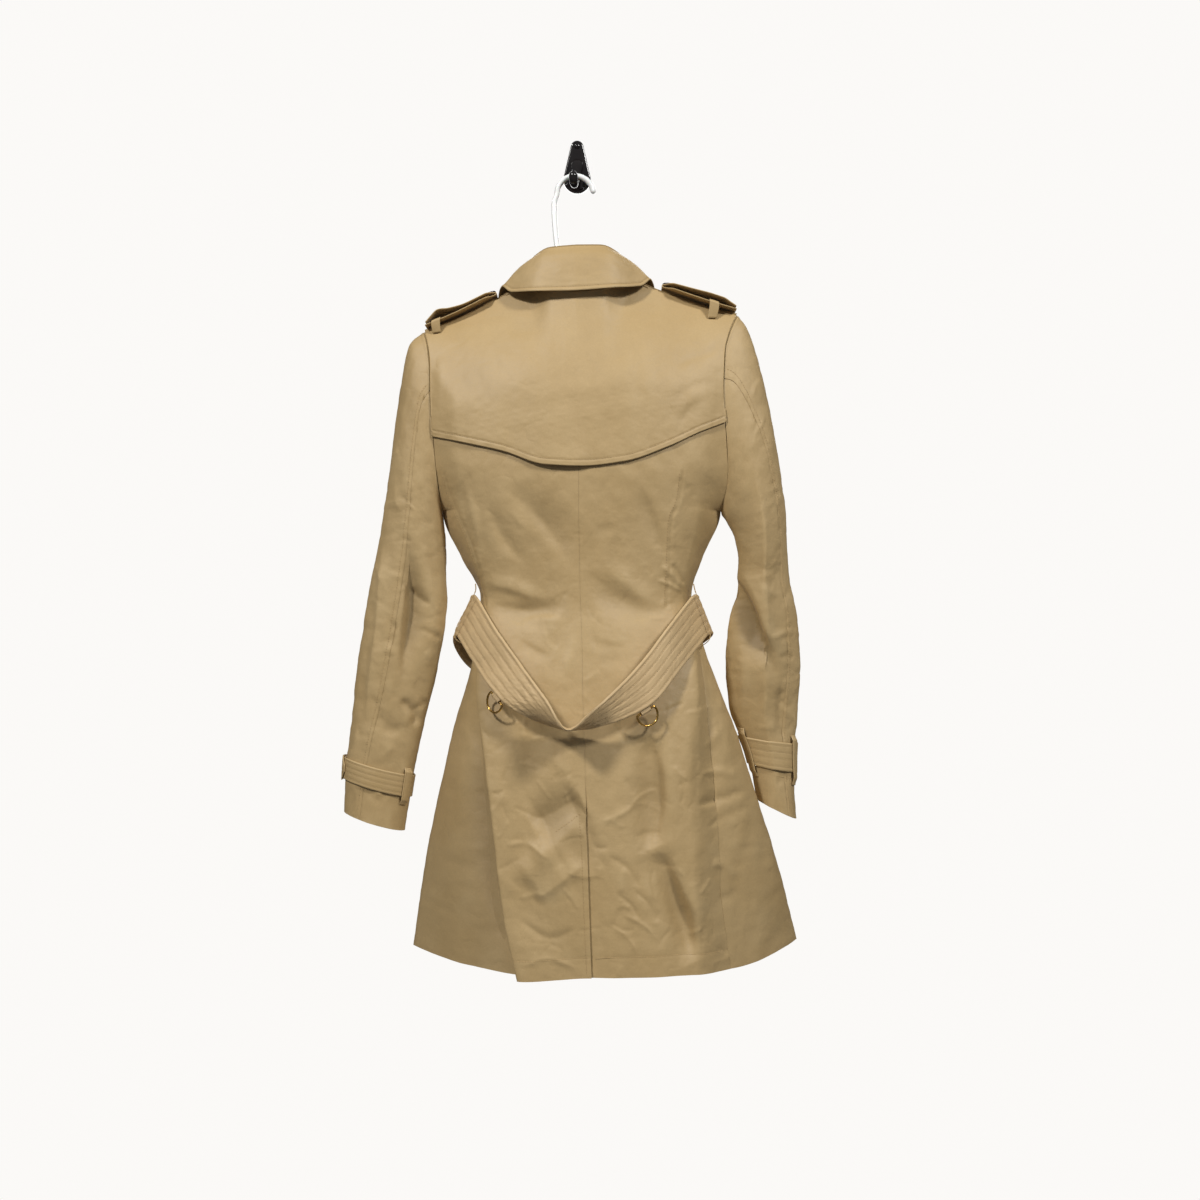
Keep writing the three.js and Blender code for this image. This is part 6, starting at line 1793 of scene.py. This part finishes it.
def beside(line, shift):
    """A line moved sideways, and a function that reads it."""
    line = np.asarray(line, float)
    way = np.gradient(line, axis=0)
    way /= np.linalg.norm(way, axis=1, keepdims=True)
    return through(line + np.stack([way[:, 1], -way[:, 0]], axis=1) * shift)


def straight(u, v):
    """A straight row, as a function of its share: u and v are each one number or a pair of ends."""
    ends = [value if isinstance(value, tuple) else (value, value) for value in (u, v)]
    return lambda f: tuple(mix(*pair, f) for pair in ends)


def flap_row(f):
    """The row of stitches along the storm flap's edge."""
    u = mix(-0.965, 0.965, f)
    target = read(FLAP_EDGE, "u", "z", u)
    edge, line = level_of(u, target), level_of(u, target + FLAP_STITCH)
    return u, FLAP_YOKE_SHARE + (1 - FLAP_YOKE_SHARE) * (line - FLAP_YOKE_V) / (edge - FLAP_YOKE_V)


def hem_row(sign):
    def place(f):
        u = mix(0.02, 0.97, f) * sign
        z = read(HEM, "x", "z", back(u, 2 + 0 * u)[:, 0])
        return u, 1 + (z + BACK_HEM - ARMPIT_Z) / (z - ARMPIT_Z)
    return place


def princess_row(line):
    """The row of stitches beside a princess seam."""
    run = beside(line, PRINCESS_STITCH)

    def place(f):
        spot = run(f)
        return back_place(spot[:, 0], spot[:, 1])
    return place


def make_stitches():
    coat = Stitches("coat_stitches", THREAD, "coat_cotton")
    coat.row(on(storm_flap_sheet, -1, flap_relief, flap_row), 160)
    coat.row(on(collar, -1, collar_relief, straight((-0.98, 0.98), 1 - COLLAR_STITCH / COLLAR_WIDTH)), 160)
    for side, line in (("left", LEFT_PRINCESS), ("right", RIGHT_PRINCESS)):
        coat.row(on(back, -1, back_relief(side), princess_row(line)), 40)
    vent_v = skirt_v(VENT_TOP_Z)
    coat.row(on(back, -1, back_relief("left"), straight(-0.045, (vent_v, 1.99))), 60)
    coat.row(on(back, -1, back_relief("left"), straight((-0.045, -0.26), (vent_v, vent_v + 0.035))), 20)
    for side, sign in SIGN.items():
        coat.row(on(back, -1, back_relief(side), hem_row(sign)), 60)
        edge = straight(1 - FRONT_STITCH / FRONT_WIDTH, (0.45, 1.99))
        coat.row(on(on_side(front, side), -sign, front_relief(side), edge), 90)
        seam = straight(1 - 0.035, (0.03, 0.99))
        coat.row(on(sleeve_part(side, "upper"), sign, sleeve_relief(side), seam), 120)
        for part in ("upper", "under"):
            around = straight((0.01, 0.99), 1 - SLEEVE_HEM / SLEEVE_LENGTH)
            coat.row(on(sleeve_part(side, part), sign, sleeve_relief(side), around), 60)
        for w in (-0.8, 0.8):
            for ends in ((-0.97, -0.06), (0.06, 0.97)):
                coat.row(on(on_side(epaulette, side), sign, None, straight(ends, w)), 60, lift=-0.15)
        relief = strap_relief(strap_width(side))
        for w in STRAP_ROWS:
            around = straight((0, 2 * math.pi), w)
            coat.row(on(on_side(cuff_strap, side), sign, relief, around), 120, 2.6, 0.26)
            coat.row(on(on_side(cuff_tail, side), sign, relief, straight((0.03, 0.95), w)), 40, 2.6, 0.26)
    coat.make()
    band = Stitches("belt_stitches", BELT_THREAD, "belt_cotton")
    for w in BELT_ROWS:
        band.row(on(belt, -1, belt_relief, straight((0, 1), w)), 400)
    band.make()


# ---- Camera and light ------------------------------------------------------------------------

def make_view():
    camera = bpy.data.objects.new("camera", bpy.data.cameras.new("camera"))
    bpy.context.scene.collection.objects.link(camera)
    camera.location = (0.030, -1.700, -0.568)
    camera.rotation_euler = (math.pi / 2, 0, 0)
    camera.data.sensor_width = 36
    camera.data.lens = 36 * 1294 / 1200
    camera.data.clip_start = 0.05
    bpy.context.scene.camera = camera
    world = bpy.data.worlds.new("studio")
    bpy.context.scene.world = world
    world.use_nodes = True
    tree = world.node_tree
    place = node(tree, "TexCoord").outputs["Generated"]
    facing = node(tree, "VectorMath", {0: place, 1: (0.0, -0.8, 0.6)},
                  operation="DOT_PRODUCT").outputs["Value"]
    glow = node(tree, "MapRange", {"Value": facing, "From Min": -0.6, "From Max": 1.0,
                                   "To Min": 0.03, "To Max": 0.22})
    around = tree.nodes["Background"]
    around.inputs["Color"].default_value = (0.97, 0.98, 1.0, 1)
    tree.links.new(glow.outputs[0], around.inputs["Strength"])
    backdrop = node(tree, "Background", {"Color": (0.965, 0.95, 0.93, 1), "Strength": 1.0})
    seen = node(tree, "LightPath").outputs["Is Camera Ray"]
    both = node(tree, "MixShader", {0: seen, 1: around.outputs[0], 2: backdrop.outputs[0]})
    tree.links.new(both.outputs[0], tree.nodes["World Output"].inputs["Surface"])
    bpy.context.scene.view_settings.view_transform = "Standard"

    def lamp(name, place, target, size, power, tint):
        light = bpy.data.lights.new(name, "AREA")
        light.shape, light.size, light.size_y = "RECTANGLE", size[0], size[1]
        light.energy, light.color = power, tint
        made = bpy.data.objects.new(name, light)
        made.location = place
        made.rotation_euler = (Vector(target) - Vector(place)).to_track_quat("-Z", "Y").to_euler()
        bpy.context.scene.collection.objects.link(made)

    lamp("key", (-1.9, -2.7, 2.0), (0.0, -0.1, -0.7), (0.45, 0.45), 112, (1.0, 0.98, 0.95))
    lamp("second", (2.3, -2.5, 1.9), (0.0, -0.1, -0.7), (0.6, 0.6), 100, (1.0, 0.99, 0.97))
    lamp("behind", (0.2, 1.8, 0.6), (0.0, -0.1, -0.6), (1.8, 1.8), 30, (1.0, 0.99, 0.97))
    bpy.ops.mesh.primitive_circle_add(vertices=96, radius=0.5, fill_type="NGON", location=(0.03, -0.1, -1.75))
    floor = bpy.context.object
    floor.name = "floor"
    material, tree, surface = new_material("floor", Roughness=0.8)
    surface.inputs["Base Color"].default_value = (0.86, 0.85, 0.83, 1)
    floor.data.materials.append(material)
    floor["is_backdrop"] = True


def write_sizes():
    corners = lambda box: [[float(value) for value in corner] for corner in box]
    {"cad": corners(CAD_BOX), "visual": corners(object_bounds())}


make_view()
make_backs()
make_fronts()
make_sleeves()
make_upper()
make_epaulettes()
make_belt()
make_cuffs()
make_rings()
make_thread_loops()
make_buttons()
make_buckles()
make_hanger()
make_hook()
make_stitches()
write_sizes()
